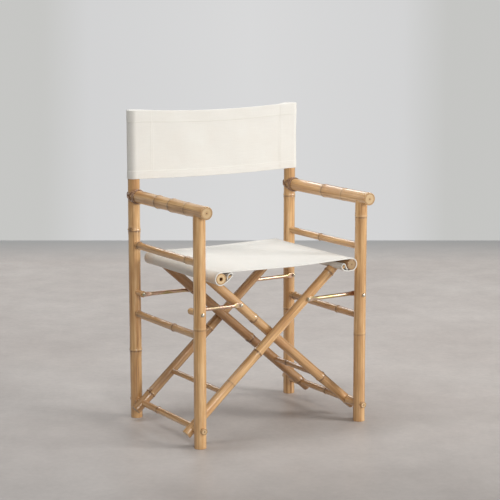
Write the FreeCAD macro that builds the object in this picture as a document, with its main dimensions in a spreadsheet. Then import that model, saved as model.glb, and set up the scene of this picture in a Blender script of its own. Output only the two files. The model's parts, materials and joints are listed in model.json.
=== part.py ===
import FreeCAD, Part

import math
import os

import Sketcher
from FreeCAD import Placement, Rotation, Vector

# Folding chair of bamboo poles with a canvas seat and a canvas back.
# Two upright side frames are joined by two crossed pairs of legs. The outer pair of legs is hinged
# to the left frame and carries the right seat rail, the inner pair is hinged to the right frame and
# carries the left seat rail, and four metal links hold the legs to the frames.
# Millimetres. The front faces -Y, left is -X, +Z is up. The origin is the middle of the footprint,
# on the floor.

SIZES = {
    # side frames
    "post_spacing": 520,
    "post_depth": 366,
    "post_radius": 16.8,
    "rear_post_height": 876,
    "armrest_height": 640,
    "armrest_radius": 17.8,
    "armrest_overhang": 40,
    "upper_rail_height": 502,
    "upper_rail_radius": 9,
    "lower_rail_height": 305,
    "lower_rail_radius": 9.5,
    "tenon_depth": 9,
    "dowel_radius": 4,
    "dowel_length": 36,
    "end_rounding": 1.2,
    # legs; a layer is the distance inwards from the plane of a frame's front or rear posts
    "leg_radius": 13.6,
    "leg_overhang": 30,
    "outer_leg_layer": 37.4,
    "inner_leg_layer": 66,
    "axle_height": 50,
    "axle_radius": 9,
    "axle_stand_out": 7,
    "axle_end_rounding": 4,
    "axle_collar_radius": 13,
    "rung_radius": 7.5,
    "rung_distance": 125,
    "cross_pin_radius": 4,
    "cross_pin_depth": 22,
    # seat rails
    "seat_rail_spacing": 420,
    "seat_rail_height": 459.5,
    "seat_rail_radius": 15,
    "seat_rail_overhang": 28,
    "seat_rail_length": 398,
    "rail_cavity_radius": 4.8,
    "rail_cavity_depth": 25,
    # links and their fasteners
    "link_bolt_height": 366,
    "link_leg_offset": 101,
    "link_tube_radius": 4.75,
    "link_flat_width": 12.5,
    "link_flat_thickness": 3,
    "link_flat_length": 16,
    "link_taper_length": 10,
    "link_spacer_radius": 9,
    "link_washer_radius": 6.5,
    "bolt_radius": 3,
    "bolt_head_radius": 5.5,
    "bolt_head_height": 3.4,
    "bolt_head_rounding": 2.6,
    "nut_radius": 5.2,
    "nut_height": 5.8,
    "nut_rounding": 2.8,
    "insert_length": 20,
    # canvas
    "canvas_thickness": 3,
    "sleeve_thickness": 2.2,
    "back_bottom": 688,
    "back_top": 880,
    "pocket_offset": 22,
    "pocket_drop": 3,
    "pocket_radius": 6,
    "hem_stick_radius": 3.4,
    # lashings
    "lashing_width": 3.4,
    "lashing_thickness": 1.6,
    "lashing_pitch": 4.2,
    # clearances
    "running_clearance": 0.05,
    "free_gap": 0.3,
    "leg_notch_gap": 2,
}

LEFT, RIGHT = -1, 1
SIDE_NAMES = {LEFT: "left", RIGHT: "right"}
LASHING_TURNS = 3
LINK_TAPER_INSET = 0.2
UP = Vector(0, 0, 1)
BACKWARDS = Vector(0, 1, 0)

doc = FreeCAD.newDocument("bamboo_folding_chair")
sheet = doc.addObject("Spreadsheet::Sheet", "sizes")
for row, (alias, number) in enumerate(SIZES.items(), start=1):
    sheet.set(f"A{row}", alias)
    sheet.set(f"B{row}", str(number))
    sheet.setAlias(f"B{row}", alias)
doc.recompute()

sub_parts = []


def size(alias):
    """A driving dimension, read back from the sheet."""
    return float(getattr(sheet, alias))


# ---------------------------------------------------------------- places worked out from the sizes

HALF_SPACING = size("post_spacing") / 2
HALF_RAIL_SPACING = size("seat_rail_spacing") / 2
TOTAL_DEPTH = size("armrest_overhang") + size("post_depth") + size("post_radius") + size("axle_stand_out")
POST_Y = {"front": size("armrest_overhang") - TOTAL_DEPTH / 2}
POST_Y["rear"] = POST_Y["front"] + size("post_depth")
INWARDS = {"front": 1, "rear": -1}
ENDS = ("front", "rear")

LEG_RISE = size("seat_rail_height") - size("axle_height")
LEG_SLOPE = LEG_RISE / (HALF_SPACING + HALF_RAIL_SPACING)
LEG_ANGLE = math.atan(LEG_SLOPE)
CROSSING_HEIGHT = size("axle_height") + HALF_SPACING * LEG_SLOPE

# faces of the layers between the posts and the mid-plane
OUTER_LEG_FACE = size("outer_leg_layer") - size("leg_radius")
INNER_LEG_FACE = size("inner_leg_layer") - size("leg_radius")
LINK_LAYER = {
    RIGHT: OUTER_LEG_FACE - size("free_gap") - size("link_flat_thickness"),
    LEFT: INNER_LEG_FACE - size("free_gap") - size("link_flat_thickness"),
}
LEG_LAYER = {LEFT: size("outer_leg_layer"), RIGHT: size("inner_leg_layer")}
LEG_FACE = {LEFT: OUTER_LEG_FACE, RIGHT: INNER_LEG_FACE}
PAIR_NAMES = {LEFT: "outer", RIGHT: "inner"}


def at_layer(end, layer):
    """Y of a layer: its distance inwards from the front or the rear posts."""
    return POST_Y[end] + INWARDS[end] * layer


def leg_direction(side):
    """Along a leg from its lower pivot on that side up to the seat rail of the other side."""
    return Vector(-side * math.cos(LEG_ANGLE), 0, math.sin(LEG_ANGLE))


def on_leg(side, distance, y):
    """A point on the axis of the legs hinged on that side, by its distance above their lower pivot."""
    return Vector(side * HALF_SPACING, y, size("axle_height")) + leg_direction(side) * distance


# ---------------------------------------------------------------- ways of making the pieces


def origin_plane(body, role):
    return next(f for f in body.Origin.OriginFeatures if f.Role == role)


def new_sketch(body, role, offset=0.0):
    """A sketch on one of the body's own origin planes, or parallel to it."""
    sketch = body.newObject("Sketcher::SketchObject", f"{body.Name}_sketch")
    sketch.AttachmentSupport = [(origin_plane(body, role), "")]
    sketch.MapMode = "FlatFace"
    sketch.AttachmentOffset = Placement(Vector(0, 0, offset), Rotation())
    return sketch


def add_circle(sketch, radius, extra=0.0):
    """A circle about the sketch's origin, its radius bound to a size, plus an extra."""
    number = sketch.addGeometry(Part.Circle(Vector(), UP, size(radius) + extra))
    sketch.addConstraint(Sketcher.Constraint("Coincident", number, 3, -1, 1))
    bound = sketch.addConstraint(Sketcher.Constraint("Radius", number, size(radius) + extra))
    sketch.setExpression(f"Constraints[{bound}]", f"sizes.{radius} + {extra}")


def add_pad(body, sketch, length, downwards=False, midplane=False):
    """A pad of a sketch. The length is a size's name, or an expression that starts with '='."""
    pad = body.newObject("PartDesign::Pad", f"{body.Name}_pad")
    pad.Profile = sketch
    pad.setExpression("Length", length[1:] if length.startswith("=") else f"sizes.{length}")
    pad.Reversed = downwards
    pad.Midplane = midplane
    doc.recompute()
    return pad


def round_ends(body, feature, radius, heights=None):
    """Rounds the feature's circular edges, or only those at the given heights."""
    names = []
    for number, edge in enumerate(feature.Shape.Edges, start=1):
        is_circle = isinstance(edge.Curve, Part.Circle)
        if is_circle and (heights is None or any(abs(edge.Curve.Center.z - z) < 0.01 for z in heights)):
            names.append(f"Edge{number}")
    fillet = body.newObject("PartDesign::Fillet", f"{body.Name}_rounding")
    fillet.Base = (feature, names)
    fillet.setExpression("Radius", f"sizes.{radius}")
    body.Tip = fillet
    doc.recompute()


def place(thing, start, direction):
    """Stands a piece made along +Z at start, pointing in direction."""
    thing.Placement = Placement(start, Rotation(UP, direction))
    return thing


def pole(name, radius, start, direction, length, rounding=None):
    """A round pole. The length is a size's name or an expression that starts with '='."""
    body = doc.addObject("PartDesign::Body", name)
    sketch = new_sketch(body, "XY_Plane")
    add_circle(sketch, radius)
    pad = add_pad(body, sketch, length)
    if rounding:
        round_ends(body, pad, rounding)
    return place(body, start, direction)


def ring(name, outer, inner, start, direction, length, clearance=0.0, wall=0.0):
    """A tube: its outer radius is a size plus a wall, its bore is a size plus a clearance."""
    body = doc.addObject("PartDesign::Body", name)
    sketch = new_sketch(body, "XY_Plane")
    add_circle(sketch, outer, wall)
    add_circle(sketch, inner, clearance)
    add_pad(body, sketch, length)
    return place(body, start, direction)


def domed_bolt(name, start, direction, length):
    """A bolt whose head's flat side is at start and whose shank points in direction."""
    body = doc.addObject("PartDesign::Body", name)
    head_sketch = new_sketch(body, "XY_Plane")
    add_circle(head_sketch, "bolt_head_radius")
    head = add_pad(body, head_sketch, "bolt_head_height", downwards=True)
    round_ends(body, head, "bolt_head_rounding", heights=[-size("bolt_head_height")])
    shank_sketch = new_sketch(body, "XY_Plane")
    add_circle(shank_sketch, "bolt_radius")
    add_pad(body, shank_sketch, f"={length}")
    return place(body, start, direction)


def drill(name, radius, start, direction, length, extra=0.0):
    """A round cutter whose radius is bound to a size, plus an extra."""
    cylinder = doc.addObject("Part::Cylinder", name)
    cylinder.setExpression("Radius", f"sizes.{radius} + {extra}")
    cylinder.Height = length
    return place(cylinder, start, direction)


def joined(name, pieces):
    if len(pieces) == 1:
        return pieces[0]
    fused = doc.addObject("Part::MultiFuse", name)
    fused.Shapes = pieces
    return fused


def keep(thing, label):
    """Names a finished sub-part."""
    thing.Label = label
    sub_parts.append(thing)
    return thing


def cut(label, blank, cutters):
    """The finished sub-part left when the cutters have been taken from the blank."""
    result = doc.addObject("Part::Cut", f"{label}_cut")
    result.Base = blank
    result.Tool = joined(f"{label}_cutters", cutters)
    return result


def group(label, pieces):
    """Identical pieces that share one sub-part, as separate solids."""
    compound = doc.addObject("Part::Compound", f"{label}_group")
    compound.Links = pieces
    return keep(compound, label)


# ---------------------------------------------------------------- side frames


def post_cutters(name, side, end):
    """Sockets for the two side rails and holes for the link bolt and the axle."""
    inwards = BACKWARDS * INWARDS[end]
    axis = Vector(side * HALF_SPACING, POST_Y[end], 0)
    reach = 2 * size("post_radius")
    cutters = []
    for rail in ("upper", "lower"):
        depth_from_axis = size("post_radius") - size("tenon_depth")
        start = axis + UP * size(f"{rail}_rail_height") + inwards * depth_from_axis
        cutters.append(drill(f"{name}_{rail}_socket", f"{rail}_rail_radius", start, inwards, reach))
    for what, radius, height, extra in (
        ("bolt", "bolt_radius", "link_bolt_height", 0),
        ("axle", "axle_radius", "axle_height", size("running_clearance")),
    ):
        start = axis + UP * size(height) - inwards * reach
        cutters.append(drill(f"{name}_{what}_hole", radius, start, inwards, 2 * reach, extra))
    return cutters


def armrest_dowel_places(side):
    """Start and direction of the dowels: up from the front post, and forwards from the rear post."""
    x = side * HALF_SPACING
    half = size("dowel_length") / 2
    seat = size("armrest_height") - size("armrest_radius")
    butt = POST_Y["rear"] - size("post_radius")
    return (
        (Vector(x, POST_Y["front"], seat - half), UP),
        (Vector(x, butt + half / 2, size("armrest_height")), -BACKWARDS),
    )


def dowel_drills(name, places):
    return [
        drill(f"{name}_{i}", "dowel_radius", start, direction, size("dowel_length"))
        for i, (start, direction) in enumerate(places)
    ]


def armrest_cylinder(name, side):
    start = Vector(side * HALF_SPACING, -TOTAL_DEPTH / 2, size("armrest_height"))
    return drill(name, "armrest_radius", start, BACKWARDS, TOTAL_DEPTH)


def post_cylinder(name, side, end):
    start = Vector(side * HALF_SPACING, POST_Y[end], 0)
    return drill(name, "post_radius", start, UP, size("back_top"))


def make_posts(side):
    name = SIDE_NAMES[side]
    foot = {end: Vector(side * HALF_SPACING, POST_Y[end], 0) for end in ENDS}
    front = pole(f"{name}_front_blank", "post_radius", foot["front"], UP, "armrest_height", "end_rounding")
    rear = pole(f"{name}_rear_blank", "post_radius", foot["rear"], UP, "rear_post_height", "end_rounding")
    dowels = armrest_dowel_places(side)
    front_cutters = post_cutters(f"{name}_front", side, "front")
    front_cutters.append(armrest_cylinder(f"{name}_saddle", side))
    front_cutters += dowel_drills(f"{name}_front_dowel_hole", dowels[:1])
    rear_cutters = post_cutters(f"{name}_rear", side, "rear")
    rear_cutters += dowel_drills(f"{name}_rear_dowel_hole", dowels[1:])
    keep(cut(f"{name}_front_post", front, front_cutters), f"{name}_front_post")
    keep(cut(f"{name}_rear_post", rear, rear_cutters), f"{name}_rear_post")


def make_armrest(side):
    """The armrest lies on the front post and butts against the rear post."""
    name = SIDE_NAMES[side]
    start = Vector(side * HALF_SPACING, -TOTAL_DEPTH / 2, size("armrest_height"))
    length = "=sizes.armrest_overhang + sizes.post_depth - sizes.post_radius / 2"
    blank = pole(f"{name}_armrest_blank", "armrest_radius", start, BACKWARDS, length, "end_rounding")
    cutters = [post_cylinder(f"{name}_butt", side, "rear")]
    cutters += dowel_drills(f"{name}_armrest_dowel_hole", armrest_dowel_places(side))
    keep(cut(f"{name}_armrest", blank, cutters), f"{name}_armrest")
    dowels = [
        pole(f"{name}_dowel_{i}", "dowel_radius", place_of, direction, "dowel_length")
        for i, (place_of, direction) in enumerate(armrest_dowel_places(side))
    ]
    group(f"{name}_armrest_dowels", dowels)


def make_side_rails(side):
    """The two rails are tenoned into the front and the rear post."""
    name = SIDE_NAMES[side]
    inset = size("post_radius") - size("tenon_depth")
    length = "=sizes.post_depth - 2 * (sizes.post_radius - sizes.tenon_depth)"
    for rail in ("upper", "lower"):
        start = Vector(side * HALF_SPACING, POST_Y["front"] + inset, size(f"{rail}_rail_height"))
        blank = pole(f"{name}_{rail}_side_rail_body", f"{rail}_rail_radius", start, BACKWARDS, length)
        keep(blank, f"{name}_{rail}_side_rail")


def make_lashing(side):
    """Bands of split cane: round the armrest's rear end, and round the post above and below it."""
    name = SIDE_NAMES[side]
    pitch = size("lashing_pitch")
    width = size("lashing_width")
    wall = size("lashing_thickness")
    joint = Vector(side * HALF_SPACING, POST_Y["rear"], size("armrest_height"))
    first = {
        "armrest": joint - BACKWARDS * (size("post_radius") + size("lashing_thickness") + width),
        "above": joint + UP * (size("armrest_radius") + wall),
        "below": joint - UP * (size("armrest_radius") + wall + width),
    }
    step = {"armrest": -BACKWARDS * pitch, "above": UP * pitch, "below": -UP * pitch}
    axis = {"armrest": BACKWARDS, "above": UP, "below": UP}
    radius = {"armrest": "armrest_radius", "above": "post_radius", "below": "post_radius"}
    turns = {"armrest": LASHING_TURNS, "above": 1, "below": 1}
    bands = []
    for where, start in first.items():
        for turn in range(turns[where]):
            band = f"{name}_lashing_{where}_{turn}"
            corner = start + step[where] * turn
            around = radius[where]
            bands.append(ring(band, around, around, corner, axis[where], "lashing_width", 0.0, wall))
    group(f"{name}_armrest_lashing", bands)


def collar(name, side, end, outer, bore, height, outer_face, clearance):
    """A collar round a bolt or an axle, hollowed on one end to sit against its post."""
    axis = Vector(side * HALF_SPACING, POST_Y[end], size(height))
    direction = BACKWARDS * INWARDS[end]
    inner_end = size("post_radius") / 2
    start = axis + direction * inner_end
    blank = ring(f"{name}_blank", outer, bore, start, direction, f"={outer_face - inner_end}", clearance)
    return cut(name, blank, [post_cylinder(f"{name}_saddle", side, end)])


def make_frame_fasteners(side):
    """Axle collars, link spacers or washers, link bolts and their domed nuts."""
    name = SIDE_NAMES[side]
    gap = size("free_gap")
    link_front = LINK_LAYER[side]
    link_back = link_front + size("link_flat_thickness")
    spacer_radius = "link_spacer_radius" if side == LEFT else "link_washer_radius"
    spacer_word = "spacers" if side == LEFT else "washers"
    grip = size("nut_height") - size("bolt_head_height") / 2
    shank = size("post_radius") + link_back + gap + grip
    collars, spacers, bolts, nuts = [], [], [], []
    for end in ENDS:
        inwards = BACKWARDS * INWARDS[end]
        x = side * HALF_SPACING
        bolt_axis = Vector(x, POST_Y[end], size("link_bolt_height"))
        collars.append(collar(f"{name}_{end}_axle_collar", side, end, "axle_collar_radius", "axle_radius",
                              "axle_height", LEG_FACE[side] - gap, size("running_clearance")))
        spacers.append(collar(f"{name}_{end}_link_spacer", side, end, spacer_radius, "bolt_radius",
                              "link_bolt_height", link_front - gap, 0.0))
        bolts.append(domed_bolt(f"{name}_{end}_bolt", bolt_axis - inwards * size("post_radius"), inwards, shank))
        nut = pole(f"{name}_{end}_nut_blank", "nut_radius", bolt_axis + inwards * (link_back + gap), inwards,
                   "nut_height")
        round_ends(nut, nut.Tip, "nut_rounding", heights=[size("nut_height")])
        bore = drill(f"{name}_{end}_nut_bore", "bolt_radius", bolt_axis, inwards, link_back + gap + grip)
        nuts.append(cut(f"{name}_{end}_nut", nut, [bore]))
    group(f"{name}_axle_collars", collars)
    group(f"{name}_link_{spacer_word}", spacers)
    group(f"{name}_link_bolts", bolts)
    group(f"{name}_link_nuts", nuts)


def make_back_sleeve(side):
    """The end of the canvas back, sewn into a sleeve round the rear post."""
    name = SIDE_NAMES[side]
    start = Vector(side * HALF_SPACING, POST_Y["rear"], size("back_bottom"))
    sleeve = ring(f"{name}_sleeve", "post_radius", "post_radius", start, UP,
                  "=sizes.back_top - sizes.back_bottom", 0.0, size("sleeve_thickness"))
    keep(sleeve, f"{name}_back_sleeve")


def box(label, low, high):
    """A plain block between two corners."""
    block = doc.addObject("Part::Box", f"{label}_block")
    block.Length, block.Width, block.Height = high.x - low.x, high.y - low.y, high.z - low.z
    block.Placement = Placement(low, Rotation())
    return keep(block, label)


def half_chord(radius, distance):
    """Half the width of a circle at a distance from its middle."""
    return math.sqrt(radius**2 - distance**2)


def make_back_panel():
    """The canvas between the sleeves, against the front of the rear posts."""
    radius = size("post_radius")
    chord = half_chord(radius + size("sleeve_thickness"), radius)
    reach = HALF_SPACING - chord - size("free_gap")
    back = POST_Y["rear"] - radius
    low = Vector(-reach, back - size("canvas_thickness"), size("back_bottom"))
    high = Vector(reach, back, size("back_top"))
    box("back_panel", low, high).setExpression("Height", "sizes.back_top - sizes.back_bottom")


# ---------------------------------------------------------------- legs


def rail_start(side):
    y = POST_Y["front"] - size("seat_rail_overhang")
    return Vector(side * HALF_RAIL_SPACING, y, size("seat_rail_height"))


def rail_dowel_start(side, end):
    """A rail dowel lies along the leg's axis, with a third of its length in the rail."""
    top = on_leg(side, LEG_RISE / math.sin(LEG_ANGLE), at_layer(end, LEG_LAYER[side]))
    return top + leg_direction(side) * (size("dowel_length") / 4)


def make_leg(side, end):
    """A leg, named by the side it is hinged on: outer legs on the left, inner legs on the right."""
    name = f"{PAIR_NAMES[side]}_leg_{end}"
    layer = LEG_LAYER[side]
    y = at_layer(end, layer)
    inwards = BACKWARDS * INWARDS[end]
    reach = 2 * size("leg_radius")
    length = size("leg_overhang") + LEG_RISE / math.sin(LEG_ANGLE)
    start = on_leg(side, -size("leg_overhang"), y)
    blank = pole(f"{name}_blank", "leg_radius", start, leg_direction(side), f"={length}", "end_rounding")
    crossing = Vector(0, at_layer(end, INNER_LEG_FACE), CROSSING_HEIGHT)
    crossing_outwards = inwards if side == RIGHT else -inwards
    pin_clearance = 0.0 if side == RIGHT else size("running_clearance")
    pin_depth = size("cross_pin_depth")
    pin_bore = pin_depth + (INNER_LEG_FACE - size("outer_leg_layer") - size("leg_radius"))
    link_pivot = Vector(-side * size("link_leg_offset"), y, 0)
    link_pivot.z = CROSSING_HEIGHT + size("link_leg_offset") * LEG_SLOPE
    rung_start = on_leg(side, size("rung_distance"), y) + inwards * (size("leg_radius") - size("tenon_depth"))
    cutters = [
        drill(f"{name}_axle_hole", "axle_radius", on_leg(side, 0, y) - inwards * reach, inwards, 2 * reach),
        drill(f"{name}_pin_hole", "cross_pin_radius", crossing, crossing_outwards,
              pin_depth if side == RIGHT else pin_bore, pin_clearance),
        drill(f"{name}_rung_socket", "rung_radius", rung_start, inwards, reach),
        drill(f"{name}_insert_hole", "bolt_radius", link_pivot - inwards * size("leg_radius"), inwards,
              insert_inset() + size("insert_length")),
        drill(f"{name}_rail_saddle", "seat_rail_radius", rail_start(-side), BACKWARDS, size("seat_rail_length")),
        drill(f"{name}_dowel_hole", "dowel_radius", rail_dowel_start(side, end), -leg_direction(side),
              size("dowel_length")),
    ]
    keep(cut(name, blank, cutters), name)


def insert_inset():
    """How far an insert sits below the crown of its leg, so that its face is flush."""
    return size("leg_radius") - half_chord(size("leg_radius"), size("bolt_radius")) + size("free_gap") / 3


def make_leg_pair(side):
    """The pair of legs hinged on one side with its axle, rung, inserts and seat rail."""
    pair = PAIR_NAMES[side]
    other = SIDE_NAMES[-side]
    for end in ENDS:
        make_leg(side, end)
    make_axle(side, pair)
    layer = LEG_LAYER[side]
    inset = size("leg_radius") - size("tenon_depth")
    rung_start = on_leg(side, size("rung_distance"), at_layer("front", layer + inset))
    rung = pole(f"{pair}_rung", "rung_radius", rung_start, BACKWARDS,
                f"=sizes.post_depth - 2 * (sizes.{pair}_leg_layer + sizes.leg_radius - sizes.tenon_depth)")
    keep(rung, f"{pair}_upper_rung")
    inserts = []
    for end in ENDS:
        inwards = BACKWARDS * INWARDS[end]
        x = -side * size("link_leg_offset")
        z = CROSSING_HEIGHT + size("link_leg_offset") * LEG_SLOPE
        start = Vector(x, at_layer(end, LEG_FACE[side] + insert_inset()), z)
        inserts.append(pole(f"{pair}_{end}_insert", "bolt_radius", start, inwards, "insert_length"))
    group(f"{pair}_link_inserts", inserts)
    make_seat_rail(-side)
    make_seat_loop(-side)
    dowels = [
        pole(f"{other}_{end}_rail_dowel", "dowel_radius", rail_dowel_start(side, end), -leg_direction(side),
             "dowel_length")
        for end in ENDS
    ]
    group(f"{other}_rail_dowels", dowels)


def make_axle(side, pair):
    """The lower rung is the axle: it goes through both legs and both posts and ends in round knobs."""
    stand_out = size("post_radius") + size("axle_stand_out")
    start = Vector(side * HALF_SPACING, POST_Y["front"] - stand_out, size("axle_height"))
    length = "=sizes.post_depth + 2 * (sizes.post_radius + sizes.axle_stand_out)"
    axle = pole(f"{pair}_axle", "axle_radius", start, BACKWARDS, length, "axle_end_rounding")
    keep(axle, f"{pair}_lower_rung")


def make_cross_pins():
    """Hidden pins where the legs cross, fast in the inner legs and turning in the outer ones."""
    pins = []
    for end in ENDS:
        inwards = BACKWARDS * INWARDS[end]
        start = Vector(0, at_layer(end, INNER_LEG_FACE + size("cross_pin_depth")), CROSSING_HEIGHT)
        pins.append(pole(f"{end}_cross_pin", "cross_pin_radius", start, -inwards, "=2 * sizes.cross_pin_depth"))
    group("cross_pins", pins)


# ---------------------------------------------------------------- seat


def make_seat_rail(side):
    """A seat rail with sockets for the dowels that hold it on its legs."""
    name = SIDE_NAMES[side]
    blank = pole(f"{name}_seat_rail_blank", "seat_rail_radius", rail_start(side), BACKWARDS,
                 "seat_rail_length", "end_rounding")
    cutters = [
        drill(f"{name}_{end}_rail_socket", "dowel_radius", rail_dowel_start(-side, end), -leg_direction(-side),
              size("dowel_length"))
        for end in ENDS
    ]
    if side == LEFT:
        cutters.append(drill("left_rail_cavity", "rail_cavity_radius", rail_start(side), BACKWARDS,
                             size("rail_cavity_depth")))
    keep(cut(f"{name}_seat_rail", blank, cutters), f"{name}_seat_rail")


def leg_clearances(name, side, extra):
    """Cutters that keep canvas and hem sticks clear of the legs under a seat rail."""
    return [
        drill(f"{name}_{end}_clearance", "leg_radius", on_leg(-side, 0, at_layer(end, LEG_LAYER[-side])),
              leg_direction(-side), LEG_RISE / math.sin(LEG_ANGLE), extra)
        for end in ENDS
    ]


def make_seat_loop(side):
    """The canvas round a seat rail, with a pocket on its inboard side for the hem sticks."""
    name = SIDE_NAMES[side]
    rail = rail_start(side)
    length = size("seat_rail_length")
    wall = size("canvas_thickness")
    pocket = rail + Vector(-side * size("pocket_offset"), 0, -size("pocket_drop"))
    web = doc.addObject("Part::Box", f"{name}_web")
    web.Length, web.Width, web.Height = size("pocket_offset"), length, 2 * wall
    web.Placement = Placement(Vector(min(rail.x, pocket.x), rail.y, pocket.z - wall), Rotation())
    around = drill(f"{name}_around", "seat_rail_radius", rail, BACKWARDS, length, wall)
    pouch = drill(f"{name}_pouch", "pocket_radius", pocket, BACKWARDS, length)
    rail_hole = drill(f"{name}_rail_hole", "seat_rail_radius", rail, BACKWARDS, length)
    stick_hole = drill(f"{name}_stick_hole", "hem_stick_radius", pocket, BACKWARDS, length)
    loop = cut(f"{name}_seat_loop", joined(f"{name}_loop_blank", [around, pouch, web]),
               [rail_hole, stick_hole] + leg_clearances(f"{name}_loop", side, size("leg_notch_gap")))
    keep(loop, f"{name}_seat_loop")
    stick = pole(f"{name}_stick_blank", "hem_stick_radius", pocket, BACKWARDS, "seat_rail_length")
    sticks = cut(f"{name}_hem_sticks", stick,
                 leg_clearances(f"{name}_stick", side, size("leg_notch_gap")))
    keep(sticks, f"{name}_hem_sticks")


def make_seat_panel():
    """The canvas between the seat rails, level with their tops."""
    radius = size("seat_rail_radius")
    chord = half_chord(radius + size("canvas_thickness"), radius)
    reach = HALF_RAIL_SPACING - chord - size("free_gap")
    low = rail_start(LEFT)
    low.x = -reach
    low.z += radius
    high = low + Vector(2 * reach, size("seat_rail_length"), size("canvas_thickness"))
    box("seat_panel", low, high).setExpression("Height", "sizes.canvas_thickness")


# ---------------------------------------------------------------- links


def add_outline(sketch, corners):
    """Straight lines through the corners, joined end to end. Returns the number of the first line."""
    first = None
    for start, end in zip(corners, corners[1:]):
        number = sketch.addGeometry(Part.LineSegment(Vector(*start, 0), Vector(*end, 0)))
        if first is None:
            first = number
        else:
            sketch.addConstraint(Sketcher.Constraint("Coincident", number - 1, 2, number, 1))
    return first


def link_half(name):
    """Half a link: a flat end at the origin that swells into a round tube along +X."""
    body = doc.addObject("PartDesign::Body", name)
    width = size("link_flat_width") / 2
    radius = size("link_tube_radius")
    flat_end = size("link_flat_length")
    tube_start = flat_end + size("link_taper_length")
    flat = new_sketch(body, "XZ_Plane")
    add_outline(flat, [(0, width), (flat_end, width), (tube_start, radius - 1), (tube_start, 1 - radius),
                       (flat_end, -width), (0, -width)])
    flat.addGeometry(Part.ArcOfCircle(Part.Circle(Vector(), UP, width), math.pi / 2, 3 * math.pi / 2))
    add_circle(flat, "bolt_radius")
    add_pad(body, flat, "link_flat_thickness", midplane=True)
    tube = new_sketch(body, "XZ_Plane")
    middle = link_length() / 2
    tip = (flat_end, size("link_flat_thickness") / 2 - LINK_TAPER_INSET)
    first = add_outline(tube, [tip, (tube_start, radius), (middle, radius), (middle, 0), (flat_end, 0), tip])
    wall = first + 1
    tube.addConstraint(Sketcher.Constraint("Horizontal", wall))
    bound = tube.addConstraint(Sketcher.Constraint("DistanceY", -1, 1, wall, 1, radius))
    tube.setExpression(f"Constraints[{bound}]", "sizes.link_tube_radius")
    turned = body.newObject("PartDesign::Revolution", f"{name}_tube")
    turned.Profile = tube
    turned.ReferenceAxis = (tube, ["H_Axis"])
    turned.Angle = 360
    body.Tip = turned
    return body


def link_ends(side):
    """The link's post end and its leg end, in the plane of the folding motion."""
    x = size("link_leg_offset")
    leg_end = Vector(side * x, 0, CROSSING_HEIGHT + x * LEG_SLOPE)
    return Vector(side * HALF_SPACING, 0, size("link_bolt_height")), leg_end


def link_length():
    post_end, leg_end = link_ends(RIGHT)
    return (leg_end - post_end).Length


def make_link(side, end):
    """A link between a post and the leg beside it, with the bolt that rides on its leg end."""
    name = f"{SIDE_NAMES[side]}_{end}_link"
    post_end, leg_end = link_ends(side)
    y = at_layer(end, LINK_LAYER[side] + size("link_flat_thickness") / 2)
    post_end.y = leg_end.y = y
    along = leg_end - post_end
    halves = []
    for number, (start, direction) in enumerate(((post_end, along), (leg_end, -along))):
        half = link_half(f"{name}_half_{number}")
        tilt = math.degrees(math.atan2(-direction.z, direction.x))
        half.Placement = Placement(start, Rotation(BACKWARDS, tilt))
        halves.append(half)
    keep(joined(f"{name}_tube", halves), name)
    inwards = BACKWARDS * INWARDS[end]
    face = leg_end - inwards * (size("link_flat_thickness") / 2)
    keep(domed_bolt(f"{name}_leg_bolt_body", face, inwards, "sizes.link_flat_thickness"), f"{name}_leg_bolt")


# ---------------------------------------------------------------- the whole chair

for side in (LEFT, RIGHT):
    make_posts(side)
    make_armrest(side)
    make_side_rails(side)
    make_lashing(side)
    make_frame_fasteners(side)
    make_back_sleeve(side)
make_back_panel()
for side in (LEFT, RIGHT):
    make_leg_pair(side)
make_cross_pins()
make_seat_panel()
for side in (LEFT, RIGHT):
    for end in ENDS:
        make_link(side, end)

doc.recompute()

for thing in doc.Objects:
    for word in ("Invalid", "Error"):
        if word in thing.State:
            raise RuntimeError(f"{thing.Label} did not compute: {thing.State}")

os.makedirs("parts", exist_ok=True)
for thing in sub_parts:
    shape = thing.Shape
    if shape.isNull() or not shape.isValid() or not shape.Solids:
        raise RuntimeError(f"{thing.Label} has no valid shape")
    shape.exportStep(f"parts/{thing.Label}.step")
    print(f"{thing.Label}: {len(shape.Solids)} solid(s), {shape.Volume / 1000:.1f} cm3")
print(f"{len(sub_parts)} sub-parts")
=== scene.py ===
import json
import math
import random

import bmesh
import bpy
import numpy as np
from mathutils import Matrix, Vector


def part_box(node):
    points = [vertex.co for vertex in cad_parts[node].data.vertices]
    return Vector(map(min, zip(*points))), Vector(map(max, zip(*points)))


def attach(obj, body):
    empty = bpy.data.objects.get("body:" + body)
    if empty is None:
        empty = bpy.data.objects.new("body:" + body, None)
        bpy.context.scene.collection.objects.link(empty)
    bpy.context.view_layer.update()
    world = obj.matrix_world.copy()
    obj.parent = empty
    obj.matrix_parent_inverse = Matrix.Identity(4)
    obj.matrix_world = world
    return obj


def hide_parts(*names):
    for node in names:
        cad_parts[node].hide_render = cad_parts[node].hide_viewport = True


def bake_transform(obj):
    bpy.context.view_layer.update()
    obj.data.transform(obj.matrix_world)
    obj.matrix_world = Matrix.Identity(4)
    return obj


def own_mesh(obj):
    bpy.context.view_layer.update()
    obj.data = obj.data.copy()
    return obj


# Looks of a folding chair of bamboo poles with a canvas seat and a canvas back.
# Metres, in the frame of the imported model: the front faces -Y, left is -X, the floor is at z = 0.

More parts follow.
